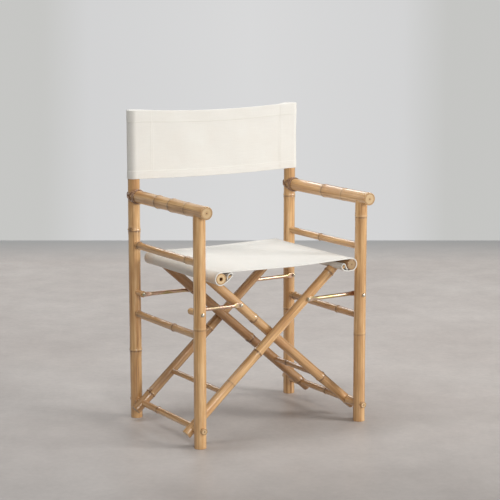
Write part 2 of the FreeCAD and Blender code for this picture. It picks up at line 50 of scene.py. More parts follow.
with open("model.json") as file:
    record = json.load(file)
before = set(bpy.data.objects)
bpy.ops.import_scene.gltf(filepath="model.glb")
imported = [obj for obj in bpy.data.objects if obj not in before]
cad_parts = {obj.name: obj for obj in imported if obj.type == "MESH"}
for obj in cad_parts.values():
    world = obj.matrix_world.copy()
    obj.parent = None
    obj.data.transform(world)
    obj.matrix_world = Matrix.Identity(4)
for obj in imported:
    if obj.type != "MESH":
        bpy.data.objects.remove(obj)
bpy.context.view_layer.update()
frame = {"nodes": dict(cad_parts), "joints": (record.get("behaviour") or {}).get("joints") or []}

MM = 0.001
LEFT, RIGHT = -1, 1
SIDES = {LEFT: "left", RIGHT: "right"}
PAIRS = {LEFT: "outer", RIGHT: "inner"}  # legs, by the side that they are hinged on
ENDS = ("front", "rear")
INWARDS = {"front": 1, "rear": -1}
UP = Vector((0, 0, 1))
BACK = Vector((0, 1, 0))
TURN = 2 * math.pi


# ---------------------------------------------------------------- places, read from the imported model


def middle(node):
    low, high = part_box(node)
    return (low + high) / 2


def extent(node):
    low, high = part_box(node)
    return high - low


POST_RADIUS = extent("left_front_post").x / 2
POST_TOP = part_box("left_rear_post")[1].z
HALF_SPACING = middle("right_front_post").x
POST_Y = {end: middle(f"right_{end}_post").y for end in ENDS}
ARM_RADIUS = extent("left_armrest").x / 2
ARM_HEIGHT = middle("left_armrest").z
ARM_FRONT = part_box("left_armrest")[0].y
LEG_RADIUS = extent("outer_leg_front").y / 2
RAIL_RADIUS = extent("left_seat_rail").x / 2
RAIL = {side: middle(f"{SIDES[side]}_seat_rail") for side in SIDES}
JOINTS = {joint["name"]: joint for joint in frame["joints"]}
AXLE_HEIGHT = JOINTS["fold"]["pos_m"][2]
LINK_HEIGHT = JOINTS["left_front_link_pivot"]["pos_m"][2]
CROSSING = Vector(JOINTS["cross_pivot"]["pos_m"])
BACK_BOTTOM, BACK_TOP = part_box("left_back_sleeve")[0].z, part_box("left_back_sleeve")[1].z
LEG_Y = {(side, end): middle(f"{PAIRS[side]}_leg_{end}").y for side in SIDES for end in ENDS}


def leg_direction(side):
    return (CROSSING - Vector((side * HALF_SPACING, 0, AXLE_HEIGHT))).normalized()


def leg_ends(side, end):
    """The middle of a leg's lower end, and the point where its axis meets the seat rail's."""
    along = leg_direction(side)
    node = f"{PAIRS[side]}_leg_{end}"
    low_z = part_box(node)[0].z + LEG_RADIUS * abs(along.x)
    pivot = Vector((side * HALF_SPACING, LEG_Y[side, end], AXLE_HEIGHT))
    start = pivot + along * ((low_z - AXLE_HEIGHT) / along.z)
    top = pivot + along * ((RAIL[-side].z - AXLE_HEIGHT) / along.z)
    return start, top


# ---------------------------------------------------------------- meshes


class Surface:
    """Points and faces that make up a piece, with a few values for its material at each point."""

    VALUES = ("mark", "bloom", "cut", "tone")

    def __init__(self):
        self.points, self.grain, self.faces, self.slots = [], [], [], []
        self.values = {name: [] for name in self.VALUES}
        self.count = 0

    def add(self, points, faces, grain, slot=0, **values):
        """grain is where each point lies in the material: across, across and along its fibres."""
        points = np.asarray(points, float).reshape(-1, 3)
        self.points.append(points)
        self.grain.append(np.asarray(grain, float).reshape(-1, 3))
        for name in self.VALUES:
            given = np.asarray(values.get(name, 0.0), float)
            self.values[name].append(np.broadcast_to(given.ravel() if given.ndim else given, len(points)))
        self.faces += [tuple(corner + self.count for corner in face) for face in faces]
        self.slots += [slot] * len(faces)
        self.count += len(points)

    def add_rings(self, rings, grain, slot=0, **values):
        """Adds a closed body whose rings run from one end to the other. The first and last ring are points."""
        self.add(rings, grid_faces(*rings.shape[:2], wrap=True), grain, slot, **values)

    def make(self, name, materials, sharp_degrees=50):
        name += "_look"  # the CAD nodes have the plain names
        mesh = bpy.data.meshes.new(name)
        mesh.from_pydata(np.concatenate(self.points).tolist(), [], self.faces)
        mesh.polygons.foreach_set("material_index", self.slots)
        for material in materials:
            mesh.materials.append(material)
        grain = mesh.attributes.new("grain", "FLOAT_VECTOR", "POINT")
        grain.data.foreach_set("vector", np.concatenate(self.grain).astype(np.float32).ravel())
        for value, parts in self.values.items():
            attribute = mesh.attributes.new(value, "FLOAT", "POINT")
            attribute.data.foreach_set("value", np.concatenate(parts).astype(np.float32))
        # the rings of radius 0 become points, and all faces look outwards
        clean = bmesh.new()
        clean.from_mesh(mesh)
        bmesh.ops.remove_doubles(clean, verts=clean.verts, dist=1e-7)
        bmesh.ops.recalc_face_normals(clean, faces=clean.faces)
        clean.to_mesh(mesh)
        clean.free()
        mesh.shade_smooth()
        mesh.set_sharp_from_angle(angle=math.radians(sharp_degrees))
        mesh.update()
        made = bpy.data.objects.new(name, mesh)
        bpy.context.scene.collection.objects.link(made)
        return made


def grid_faces(rows, columns, wrap=False):
    """Faces of a grid of points, row by row. With wrap, each row is a closed ring."""
    faces = []
    for i in range(rows - 1):
        for j in range(columns if wrap else columns - 1):
            k = (j + 1) % columns
            faces.append((i * columns + j, i * columns + k, (i + 1) * columns + k, (i + 1) * columns + j))
    return faces


def side_vectors(axis):
    """Two directions at right angles to the axis and to each other."""
    across = axis.orthogonal().normalized() if abs(axis.z) > 0.99 else axis.cross(UP).normalized()
    return across, axis.cross(across).normalized()


def placed(origin, axis, along, x, y):
    """Points given by how far they are along an axis and to its two sides."""
    across, other = side_vectors(axis)
    return (np.array(origin) + along[..., None] * np.array(axis)
            + x[..., None] * np.array(across) + y[..., None] * np.array(other))


def turn_angles(count):
    return np.arange(count) * TURN / count


def unit(vectors):
    return vectors / np.maximum(np.linalg.norm(vectors, axis=-1, keepdims=True), 1e-12)


def path_reach(points):
    """How far along a path each of its points is."""
    return np.concatenate([[0], np.cumsum(np.linalg.norm(np.diff(points, axis=0), axis=1))])


def fasten(made, body, replaces=()):
    """Puts a finished piece on its body in place of its CAD nodes."""
    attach(made, body)
    if replaces:
        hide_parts(*replaces)
    return made


# ---------------------------------------------------------------- materials


class Nodes:
    """A node tree made in short steps. A socket given as an input is linked, a number is set."""

    def __init__(self, tree):
        self.tree = tree

    def node(self, kind, inputs=(), output=0, **settings):
        made = self.tree.nodes.new(kind)
        for key, value in settings.items():
            setattr(made, key, value)
        for key, value in dict(inputs).items():
            self.give(made.inputs[key], value)
        return made.outputs[output]

    def give(self, socket, value):
        if isinstance(value, bpy.types.NodeSocket):
            self.tree.links.new(value, socket)
        else:
            socket.default_value = value

    def attribute(self, name, output="Fac"):
        return self.node("ShaderNodeAttribute", output=output, attribute_name=name)

    def maths(self, operation, first, second=0.0, third=0.5, clamp=False):
        return self.node("ShaderNodeMath", {0: first, 1: second, 2: third}, operation=operation, use_clamp=clamp)

    def times(self, first, second):
        return self.maths("MULTIPLY", first, second)

    def part(self, vector, axis):
        return self.node("ShaderNodeSeparateXYZ", {0: vector}, output=axis)

    def scaled(self, vector, factors):
        return self.node("ShaderNodeVectorMath", {0: vector, 1: factors}, operation="MULTIPLY")

    def noise(self, vector, scale, detail=3.0, roughness=0.55):
        """Noise with one scale, or with one for each axis."""
        if isinstance(scale, tuple):
            vector, scale = self.scaled(vector, scale), 1.0
        inputs = {"Vector": vector, "Scale": scale, "Detail": detail, "Roughness": roughness}
        return self.node("ShaderNodeTexNoise", inputs)

    def cells(self, vector, scales):
        """How far each point is from the middle of its cell."""
        return self.node("ShaderNodeTexVoronoi", {"Vector": self.scaled(vector, scales), "Scale": 1.0})

    def ramp(self, factor, *stops):
        """A colour ramp: stops are (place, colour)."""
        made = self.tree.nodes.new("ShaderNodeValToRGB")
        elements = made.color_ramp.elements
        while len(elements) < len(stops):
            elements.new(0.5)
        for element, (place, colour) in zip(elements, stops):
            element.position = place
            element.color = (*colour, 1)
        self.give(made.inputs[0], factor)
        return made.outputs[0]

    def range(self, value, low, high, to_low=0.0, to_high=1.0):
        inputs = {"Value": value, "From Min": low, "From Max": high, "To Min": to_low, "To Max": to_high}
        return self.node("ShaderNodeMapRange", inputs)

    def mix(self, factor, first, second, kind="MIX"):
        first, second = (x if isinstance(x, bpy.types.NodeSocket) else (*x, 1) for x in (first, second))
        inputs = {0: factor, 6: first, 7: second}
        return self.node("ShaderNodeMix", inputs, output=2, data_type="RGBA", blend_type=kind)

    def shade(self, colour, value, low, high, at_low, at_high):
        """The colour times a factor that goes from at_low to at_high as the value goes from low to high."""
        factor = self.range(value, low, high, at_low, at_high)
        return self.node("ShaderNodeVectorMath", {0: colour, "Scale": factor}, operation="SCALE")

    def bump(self, height, distance, strength=1.0, normal=None):
        inputs = {"Height": height, "Distance": distance, "Strength": strength}
        if normal is not None:
            inputs["Normal"] = normal
        return self.node("ShaderNodeBump", inputs)


class Shader(Nodes):
    """The nodes of a material."""

    def __init__(self, name):
        self.material = bpy.data.materials.new(name)
        self.material.use_nodes = True
        super().__init__(self.material.node_tree)

    def set(self, **inputs):
        """Sets the shader's own sockets: an underscore in a name stands for a space."""
        for key, value in inputs.items():
            self.give(self.tree.nodes["Principled BSDF"].inputs[key.replace("_", " ")], value)


def bamboo_material():
    """Varnished bamboo skin: honey streaks along the fibres, pale and dark bands at the nodes (partly painted
    highlight on each node's ridge and painted shade in its groove), cut ends.
    """
    s = Shader("bamboo_skin")
    grain = s.attribute("grain", "Vector")
    tone = s.attribute("tone")
    streaks = s.noise(grain, (170, 170, 5), detail=5, roughness=0.6)
    fibres = s.noise(grain, (900, 900, 14), detail=2)
    clouds = s.noise(grain, (34, 34, 9), detail=3)
    honey = s.ramp(
        streaks,
        (0.28, (0.27, 0.120, 0.040)),
        (0.41, (0.56, 0.312, 0.122)),
        (0.54, (0.72, 0.440, 0.197)),
        (0.70, (0.84, 0.580, 0.300)),
    )
    ruddy = s.mix(s.range(clouds, 0.42, 0.68, 0.0, 0.75), honey, (0.50, 0.255, 0.100))
    toned = s.mix(s.range(tone, 0.0, -1.0), ruddy, (0.33, 0.15, 0.055))
    skin = s.shade(toned, fibres, 0.3, 0.7, 0.93, 1.05)
    skin = s.shade(skin, tone, -1.0, 1.0, 0.84, 1.28)
    # pale band after each knot, partly painted highlight on the node's ridge; on cut faces the same value is the
    # pale wall
    skin = s.mix(s.times(s.attribute("bloom"), 0.45), skin, (0.82, 0.58, 0.30))
    speck_place = s.cells(grain, (150, 150, 60))
    specks = s.times(s.range(speck_place, 0.11, 0.05), s.range(clouds, 0.5, 0.62))
    # the dark knot line is partly the node's own ring and partly painted shade in the groove before the knot; the
    # mark also holds stains, bud scars and the cut faces' rings
    dark = s.maths("ADD", s.attribute("mark"), s.times(specks, 0.55), clamp=True)
    broken = s.times(dark, s.range(streaks, 0.3, 0.6, 1.0, 0.72))
    skin = s.mix(broken, skin, (0.12, 0.048, 0.018))
    # cut ends: pale wall with bundles of fibres, a darker skin round it
    bundles = s.cells(grain, (950, 950, 950))
    wall = s.ramp(
        bundles,
        (0.05, (0.36, 0.19, 0.075)),
        (0.32, (0.60, 0.37, 0.165)),
        (0.90, (0.70, 0.46, 0.225)),
    )
    wall = s.shade(wall, tone, -0.6, 0.6, 0.62, 1.12)
    wall = s.mix(s.attribute("mark"), wall, (0.24, 0.11, 0.045))
    pale = s.times(s.attribute("bloom"), s.range(tone, -0.3, 0.6, 0.1, 0.75))
    wall = s.mix(pale, wall, (0.84, 0.68, 0.42))
    s.set(Base_Color=s.mix(s.attribute("cut"), skin, wall))
    worn = s.noise(grain, (60, 60, 22), detail=4)
    s.set(Roughness=s.range(worn, 0.3, 0.75, 0.30, 0.46))
    s.set(Coat_Weight=0.85, Coat_Roughness=0.14, Coat_IOR=1.5, IOR=1.5)
    low = s.bump(streaks, 0.0005, 0.55)
    s.set(Normal=s.bump(s.maths("ADD", fibres, bundles), 0.00016, 0.5, low))
    return s.material


def turned_wood_material():
    """The CAD parts left showing, such as hidden dowels and pins: straight-grained wood."""
    s = Shader("turned_wood")
    place = s.node("ShaderNodeTexCoord", output="Object")
    streaks = s.noise(place, (60, 220, 220), detail=4)
    s.set(Base_Color=s.ramp(
        streaks,
        (0.30, (0.50, 0.29, 0.125)),
        (0.55, (0.64, 0.405, 0.19)),
        (0.75, (0.73, 0.50, 0.26)),
    ))
    s.set(Roughness=s.range(streaks, 0.3, 0.7, 0.4, 0.55), Coat_Weight=0.3, Coat_Roughness=0.2)
    s.set(Normal=s.bump(streaks, 0.0003, 0.5))
    return s.material


def cane_material():
    """Split cane strips: glossy reddish outer skin with fine fibres along each strip, and painted shade at their
    edges and undersides.
    """
    s = Shader("split_cane")
    grain = s.attribute("grain", "Vector")
    streaks = s.noise(grain, (1400, 1400, 40), detail=4)
    patches = s.noise(grain, (90, 90, 60), detail=2)
    colour = s.ramp(
        streaks,
        (0.30, (0.22, 0.085, 0.038)),
        (0.52, (0.46, 0.235, 0.12)),
        (0.75, (0.72, 0.48, 0.31)),
    )
    colour = s.mix(s.range(patches, 0.45, 0.7, 0, 0.6), colour, (0.64, 0.42, 0.23))
    colour = s.shade(colour, s.attribute("tone"), -1, 1, 0.6, 1.45)
    # the mark paints each strip's edges and underside near black: painted shade in the gaps between the strips
    colour = s.mix(s.times(s.attribute("mark"), 0.85), colour, (0.06, 0.022, 0.010))
    s.set(Base_Color=colour, Roughness=s.range(streaks, 0.3, 0.7, 0.22, 0.38))
    s.set(Coat_Weight=0.8, Coat_Roughness=0.1, Normal=s.bump(streaks, 0.0002, 0.6))
    return s.material


THREAD_PITCH = 1.05 * MM


def canvas_material():
    """Unbleached plain-woven cotton canvas. Grain holds the place along the weft, along the warp."""
    s = Shader("canvas")
    grain = s.attribute("grain", "Vector")
    thread = math.pi / THREAD_PITCH
    weft, warp = (s.maths("SINE", s.times(s.part(grain, axis), thread)) for axis in (0, 1))
    weave = s.times(weft, warp)
    ridges = s.maths("ADD", s.maths("ABSOLUTE", weft), s.maths("ABSOLUTE", warp))
    height = s.maths("ADD", s.times(weave, 0.5), ridges)
    slubs = s.noise(grain, (22, 420, 1), detail=4, roughness=0.6)
    crossing_slubs = s.noise(grain, (420, 26, 1), detail=3)
    cloud = s.noise(grain, (14, 14, 1), detail=2)
    fuzz = s.noise(grain, (2600, 2600, 1), detail=2)
    base = s.ramp(cloud, (0.3, (0.82, 0.797, 0.747)), (0.7, (0.84, 0.827, 0.782)))
    base = s.shade(base, slubs, 0.3, 0.75, 1.01, 0.97)
    base = s.shade(base, crossing_slubs, 0.3, 0.8, 1.005, 0.985)
    base = s.shade(base, weave, -1, 1, 0.97, 1.02)
    fleck_place = s.cells(grain, (95, 95, 1))
    flecks = s.times(s.range(fleck_place, 0.06, 0.03), s.range(cloud, 0.55, 0.6))
    base = s.mix(s.times(flecks, 0.4), base, (0.50, 0.40, 0.26))
    base = s.mix(s.times(s.attribute("mark"), 0.5), base, (0.56, 0.52, 0.44))
    s.set(Base_Color=base, Roughness=s.range(fuzz, 0.3, 0.7, 0.82, 0.96))
    s.set(Sheen_Weight=0.12, Sheen_Roughness=0.5, Specular_IOR_Level=0.25)
    coarse = s.bump(s.maths("ADD", slubs, crossing_slubs), 0.00035, 0.4)
    s.set(Normal=s.bump(s.maths("ADD", height, fuzz), 0.00012, 0.6, coarse))
    return s.material


def thread_material():
    """Cotton sewing thread, with its twist."""
    s = Shader("sewing_thread")
    grain = s.attribute("grain", "Vector")
    twist = s.noise(grain, (3000, 3000, 1500), detail=1)
    s.set(Base_Color=s.ramp(twist, (0.3, (0.72, 0.69, 0.61)), (0.7, (0.86, 0.84, 0.78))))
    s.set(Roughness=s.range(twist, 0.3, 0.7, 0.55, 0.8), Sheen_Weight=0.2)
    s.set(Normal=s.bump(twist, 0.00012, 0.7))
    return s.material


def zinc_material():
    """Yellow zinc plate on steel tube: pale gold that drifts to pink and olive, with fine draw lines."""
    s = Shader("yellow_zinc")
    grain = s.attribute("grain", "Vector")
    film = s.noise(grain, (70, 70, 22), detail=3, roughness=0.6)
    lines = s.noise(grain, (1600, 1600, 12), detail=3)
    colour = s.ramp(
        film,
        (0.30, (0.50, 0.38, 0.17)),
        (0.43, (0.64, 0.52, 0.27)),
        (0.53, (0.78, 0.53, 0.43)),
        (0.62, (0.70, 0.52, 0.36)),
        (0.74, (0.42, 0.36, 0.19)),
    )
    dirt = s.noise(grain, (300, 300, 90), detail=3)
    colour = s.mix(s.range(dirt, 0.60, 0.74, 0, 0.6), colour, (0.21, 0.15, 0.08))
    s.set(Base_Color=colour, Metallic=1.0, Roughness=s.range(lines, 0.3, 0.7, 0.30, 0.44))
    s.set(Normal=s.bump(lines, 0.00008, 0.6))
    return s.material


def bolt_material():
    """Zinc-plated domed bolts and nuts with light wear."""
    s = Shader("bolt_steel")
    place = s.node("ShaderNodeTexCoord", output="Object")
    wear = s.noise(place, (420, 420, 420), detail=4)
    rings = s.noise(place, (60, 1800, 60), detail=2)
    colour = s.ramp(
        wear,
        (0.34, (0.36, 0.30, 0.21)),
        (0.50, (0.67, 0.62, 0.51)),
        (0.70, (0.80, 0.76, 0.67)),
    )
    s.set(Base_Color=colour, Metallic=1.0, Roughness=s.range(wear, 0.3, 0.7, 0.36, 0.2))
    s.set(Normal=s.bump(rings, 0.00006, 0.5))
    return s.material


BAMBOO = bamboo_material()
WOOD = turned_wood_material()
CANE = cane_material()
CANVAS = canvas_material()
THREAD = thread_material()
ZINC = zinc_material()
STEEL = bolt_material()


# ---------------------------------------------------------------- bamboo poles

POLE_SEGMENTS = 40
RING_PITCH = 9 * MM
KNOT_STEPS = [side * step for side in (-1, 1) for step in (0.2, 0.6, 1.1, 1.7, 2.4, 3.4, 5, 7.5, 11, 16)]
EDGE_ROUNDING = 1.1 * MM
PITH = {"solid": 1.3 * MM, "hollow": 4.8 * MM}
PITH_DEPTH = {"solid": 2.6 * MM, "hollow": 25 * MM}
# rings on a cut face, from its edge inwards: share of the way from the pith, inset in mm, mark, bloom
FACE_RINGS = ((0.90, 0.05, 0.55, 0), (0.8, 0.22, 0.12, 0.25), (0.6, 0.3, 0, 0.8), (0.35, 0.28, 0, 0.7),
              (0.12, 0.25, 0.1, 0.2))


def bump_at(distance, width):
    return np.exp(-((distance / width) ** 2))


def end_profile(radius, kind):
    """(inset from the end, radius, cut, mark, bloom) of the rings that close an end, from the skin inwards."""
    if kind == "hidden":
        return [(0, radius, 0, 0, 0), (0, 0, 0, 0, 0)]
    rings = []
    for step in range(4):
        angle = math.pi / 2 * step / 3
        inset = EDGE_ROUNDING * (1 - math.sin(angle))
        rings.append((inset, radius - EDGE_ROUNDING * (1 - math.cos(angle)), step / 3, 0.25 * step / 3, 0))
    pith = PITH[kind]
    face = radius - EDGE_ROUNDING
    for share, inset, mark, bloom in FACE_RINGS:
        rings.append((inset * MM, pith + (face - pith) * share, 1, mark, bloom))
    rings.append((0.35 * MM, pith, 1, 0.5, 0))
    for share, depth in ((0.92, 0.25), (0.8, 0.6), (0.6, 0.9), (0, 1)):
        rings.append((PITH_DEPTH[kind] * depth, pith * share, 1, 1, 0))
    return rings


def add_pole(surface, start, end, radius, knots=(), ends=("hidden", "hidden"), tone=0.0, bow=0.0,
             bow_turn=0.0, seed=0):
    """A bamboo pole. Each knot is (distance from the start, height of its swelling, step, bud angle or None)
    and sometimes how dark and wide its line is; the distance is in metres, the height and the step in millimetres.
    A bud is a scar on one side of a knot."""
    rng = random.Random(seed)
    axis = end - start
    length = axis.length
    axis.normalize()
    places = list(np.linspace(0, length, max(3, round(length / RING_PITCH))))
    for knot in knots:
        places += [knot[0] + step * MM for step in KNOT_STEPS]
    inner = [p for p in places if EDGE_ROUNDING + 0.4 * MM < p < length - EDGE_ROUNDING - 0.4 * MM]
    places = np.array(sorted(set(round(p, 5) for p in inner)))
    rows = end_profile(radius, ends[0])[::-1]
    rows += [(p, None, 0, 0, 0) for p in places]
    rows += [(length - inset, *rest) for inset, *rest in end_profile(radius, ends[1])]
    along = np.array([row[0] for row in rows])[:, None]
    theta = turn_angles(POLE_SEGMENTS)[None, :]
    body = np.array([row[1] is None for row in rows])[:, None]
    size = np.array([radius if row[1] is None else row[1] for row in rows])[:, None]
    cut, mark, bloom = (np.array([row[k] for row in rows])[:, None] + 0 * theta for k in (2, 3, 4))
    change = np.zeros((len(rows), POLE_SEGMENTS))
    for distance, swelling, step, bud, *stain_and_shade in knots:
        stain_and_shade = stain_and_shade[0] if stain_and_shade else 1
        tilt = rng.uniform(0.2, 0.9) * MM
        d = along - distance - tilt * np.cos(theta - rng.uniform(0, TURN))
        change += swelling * MM * (0.9 * bump_at(d, 9 * MM) + 0.75 * bump_at(d - 1.9 * MM, 1.9 * MM))
        change -= 0.6 * MM * min(1, swelling + 0.25) * bump_at(d + 1.0 * MM, 1.1 * MM)
        change += step * MM * 0.5 * (np.tanh(d / (1.5 * MM)) * bump_at(d, 60 * MM))
        strength = min(1, rng.uniform(0.65, 0.95) * min(1, swelling + 0.35) * stain_and_shade)
        ragged = np.sin(3 * theta + rng.uniform(0, TURN)) * np.cos(7 * theta + rng.uniform(0, TURN))
        ragged = 0.75 + 0.25 * ragged
        # the dark line lies in the groove before each knot and the pale band on the ridge after it: partly the
        # node's own colour, partly painted shade in the groove and painted highlight on the ridge
        mark += strength * (bump_at(d + 1.2 * MM, (1.1 + 1.1 * stain_and_shade) * MM) * ragged
                            + 0.34 * bump_at(d + 7 * MM, 9 * MM) * ragged**3)
        bloom += 0.55 * bump_at(d - 3.2 * MM, 2.2 * MM)
        if bud is not None:
            off = (theta - bud + math.pi) % TURN - math.pi
            height = (d - 4.5 * MM) / (4.2 * MM)
            width = off * radius / (4.8 * MM)
            reach = np.sqrt(height**2 + width**2)
            change += 0.8 * MM * np.clip(1 - reach, 0, 1) - 0.35 * MM * bump_at(reach - 1.15, 0.22)
            mark += 0.9 * bump_at(reach - 1.0, 0.3) + 0.75 * np.clip(1.3 - reach, 0, 1)
            groove = bump_at(off, 0.35) * np.clip((d - 6 * MM) / (10 * MM), 0, 1) * bump_at(d, 70 * MM)
            change -= 0.5 * MM * groove
    for height, waves, pitch in ((0.10, 2, 62), (0.06, 3, 23)):
        round_wave = np.sin(waves * theta + rng.uniform(0, TURN))
        change = change + height * MM * round_wave * np.sin(along / (pitch * MM) + rng.uniform(0, TURN))
    change = change + 0.04 * MM * np.sin(11 * theta + 4 * np.sin(along / (90 * MM)))
    size = size + change * body
    middle_line = bow * MM * np.sin(math.pi * along / length)
    line_x, line_y = middle_line * math.cos(bow_turn), middle_line * math.sin(bow_turn)
    x, y = size * np.cos(theta), size * np.sin(theta)
    points = placed(start, axis, along, x + line_x, y + line_y)
    shift = rng.uniform(0, 9)
    grain = np.stack([x + shift, y, along + 0 * x + shift], -1)
    mark, bloom, cut = (np.clip(value, 0, 1) for value in (mark, bloom, cut))
    surface.add_rings(points, grain, mark=mark, bloom=bloom, cut=cut, tone=tone)


def bamboo_piece(name, body, start, end, radius, **details):
    surface = Surface()
    add_pole(surface, start, end, radius, **details)
    return fasten(surface.make(name, [BAMBOO]), body, [name])


def lying(node):
    """Both ends and the radius of a pole that lies along Y."""
    low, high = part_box(node)
    centre = middle(node)
    return (*(Vector((centre.x, y, centre.z)) for y in (low.y, high.y)), (high.z - low.z) / 2)


# Knots, as add_pole takes them.
POST_KNOTS = {
    ("front", LEFT): [(0.325, 0.35, 0, None)],
    ("front", RIGHT): [(0.253, 0.3, 0, None), (0.587, 0.55, 0.3, None)],
    ("rear", LEFT): [(0.196, 1.0, 0.3, None), (0.542, 1.3, 0, 2.8, 1.2), (0.80, 0.3, 0, None)],
    ("rear", RIGHT): [(0.262, 0.7, 0, None), (0.604, 1.0, 0, None), (0.83, 0.3, 0, None)],
}
ARM_KNOTS = {
    LEFT: [(0.095, 0.5, 0, None), (0.180, 1.3, -1.9, None, 1.7), (0.257, 1.1, -0.5, None, 1.4)],
    RIGHT: [(0.118, 0.4, 0, None), (0.215, 1.3, -0.8, 5.3, 1.3)],
}
SIDE_RAIL_KNOTS = {
    ("upper", LEFT): [(0.055, 0.9, -0.9, None, 1.4), (0.326, 1.2, 0, None, 1.6)],
    ("upper", RIGHT): [(0.19, 0.9, 0.3, None, 1.3)],
    ("lower", LEFT): [(0.128, 1.0, 0.4, 1.0, 1.5), (0.33, 0.5, 0, None)],
    ("lower", RIGHT): [(0.10, 1.0, 0, None, 1.5), (0.324, 1.8, 0, None)],
}
LEG_KNOTS = {
    ("outer", "front"): [(0.187, 0.1, 0, None, 1.6), (0.300, 0.9, 0.3, None, 1.3), (0.609, 1.3, 0.3, None, 1.3)],
    ("inner", "front"): [(0.023, 0.5, 0, None, 2.0), (0.145, 1.1, 0.2, 4.6, 1.7), (0.441, 0.9, 0, 1.9, 1.8)],
    ("outer", "rear"): [(0.063, 1.2, 0.2, 5.2, 1.5), (0.32, 0.8, 0, None), (0.60, 0.9, 0, None)],
    ("inner", "rear"): [(0.041, 0.8, 0, None, 2.0), (0.266, 1.2, 0, 1.9, 1.9), (0.52, 0.9, 0, None)],
}
LEG_TONES = {("outer", "front"): 0.3, ("inner", "front"): -0.2, ("outer", "rear"): -0.45, ("inner", "rear"): -0.6}
UPPER_RUNG_KNOTS = {"outer": [], "inner": [(0.16, 0.9, 0, None, 1.4)]}
AXLE_KNOTS = {"outer": [(0.257, 0.9, 0.3, 0.8, 1.4)], "inner": [(0.185, 0.9, 0, None, 1.4)]}
# shades of the front post, the rear post and the armrest
FRAME_TONES = {LEFT: (0.35, -0.05, 0.15), RIGHT: (0.15, 0.1, 0.2)}
# what the photo adds to the side rails' radius
SIDE_RAILS = (("upper", 0.1, 0.9 * MM), ("lower", -0.1, 0.3 * MM))


def make_frame_poles(side):
    """Posts, armrest and side rails of one frame."""
    name = SIDES[side]
    body = f"{name}_frame"
    x = side * HALF_SPACING
    seed = 10 if side == LEFT else 40
    post = {end: Vector((x, POST_Y[end], 0)) for end in ENDS}
    arm_rear = Vector((x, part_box(f"{name}_armrest")[1].y, ARM_HEIGHT))
    arm_front = Vector((x, ARM_FRONT, ARM_HEIGHT))
    front_tone, rear_tone, arm_tone = FRAME_TONES[side]
    bamboo_piece(f"{name}_front_post", body, post["front"], post["front"] + UP * ARM_HEIGHT, POST_RADIUS,
                 knots=POST_KNOTS["front", side], ends=("solid", "hidden"), tone=front_tone, bow=0.8,
                 bow_turn=seed, seed=seed)
    bamboo_piece(f"{name}_rear_post", body, post["rear"], post["rear"] + UP * POST_TOP, POST_RADIUS,
                 knots=POST_KNOTS["rear", side], ends=("solid", "solid"), tone=rear_tone, bow=1.0,
                 bow_turn=2.0, seed=seed + 1)
    bamboo_piece(f"{name}_armrest", body, arm_front, arm_rear, ARM_RADIUS, knots=ARM_KNOTS[side],
                 ends=("solid", "hidden"), tone=arm_tone, bow=0.7, bow_turn=1.5, seed=seed + 2)
    for rail, tone, extra in SIDE_RAILS:
        node = f"{name}_{rail}_side_rail"
        start, end, radius = lying(node)
        bamboo_piece(node, body, start, end, radius + extra, knots=SIDE_RAIL_KNOTS[rail, side], tone=tone,
                     bow=0.9, bow_turn=seed + len(rail), seed=seed + 3 + len(rail))


def make_leg_poles(side):
    """Legs, axle and upper rung of one pair. The axle's ends are the knobs on the posts' outsides."""
    pair = PAIRS[side]
    body = f"{pair}_legs"
    for number, end in enumerate(ENDS):
        bamboo_piece(f"{pair}_leg_{end}", body, *leg_ends(side, end), LEG_RADIUS, knots=LEG_KNOTS[pair, end],
                     ends=("solid", "hidden"), tone=LEG_TONES[pair, end], bow=1.2 * side,
                     bow_turn=math.pi / 2, seed=70 + 7 * number + side)
    node = f"{pair}_upper_rung"
    bamboo_piece(node, body, *lying(node), knots=UPPER_RUNG_KNOTS[pair], tone=-0.1, bow=0.5, seed=90 + side)
    node = f"{pair}_lower_rung"
    bamboo_piece(node, body, *lying(node), knots=AXLE_KNOTS[pair], ends=("solid", "solid"), tone=0.1,
                 seed=95 + len(pair))


def make_seat_rail(side):
    node = f"{SIDES[side]}_seat_rail"
    start, end, _ = lying(node)
    kinds = ("hollow", "solid") if side == LEFT else ("solid", "solid")
    bamboo_piece(node, f"{PAIRS[-side]}_legs", start, end, RAIL_RADIUS, knots=[(0.21, 0.1, 0, None)],
                 ends=kinds, tone=-0.6 if side == RIGHT else 0.6, seed=120 + side)


# ---------------------------------------------------------------- turned pieces, bolts and links


def add_turned(surface, origin, axis, profile, segments=40, tone=0.0):
    """A body of revolution. The profile's points are (distance along the axis, radius), in millimetres."""
    theta = turn_angles(segments)[None, :]
    along = np.array([p[0] for p in profile])[:, None] * MM
    radius = np.array([p[1] for p in profile])[:, None] * MM
    x, y = radius * np.cos(theta), radius * np.sin(theta)
    points = placed(origin, axis, along, x, y)
    grain = np.stack([x + origin.x, y + origin.y, along + 0 * x], -1)
    surface.add_rings(points, grain, tone=tone)


def dome(radius, height, flat_share=0.25, steps=9):
    """Profile of a domed head from its crown down to its rim, at distance 0, in millimetres."""
    points = [(-height, 0), (-height, radius * flat_share)]
    for step in range(1, steps + 1):
        angle = math.pi / 2 * step / steps
        share = flat_share + (1 - flat_share) * math.sin(angle)
        points.append((-height * math.cos(angle) ** 0.8, radius * share))
    return points


def add_bolt_head(surface, seat, outwards, radius=5.5, height=3.4):
    """A domed head on a thin washer face, with a small centre mark."""
    profile = [(-height + 0.5, 0), (-height + 0.45, 0.5), (-height, 0.95)] + dome(radius, height)[2:]
    profile += [(0.4, radius), (0.7, radius - 0.4), (0.7, 0)]
    add_turned(surface, seat, -outwards, profile)


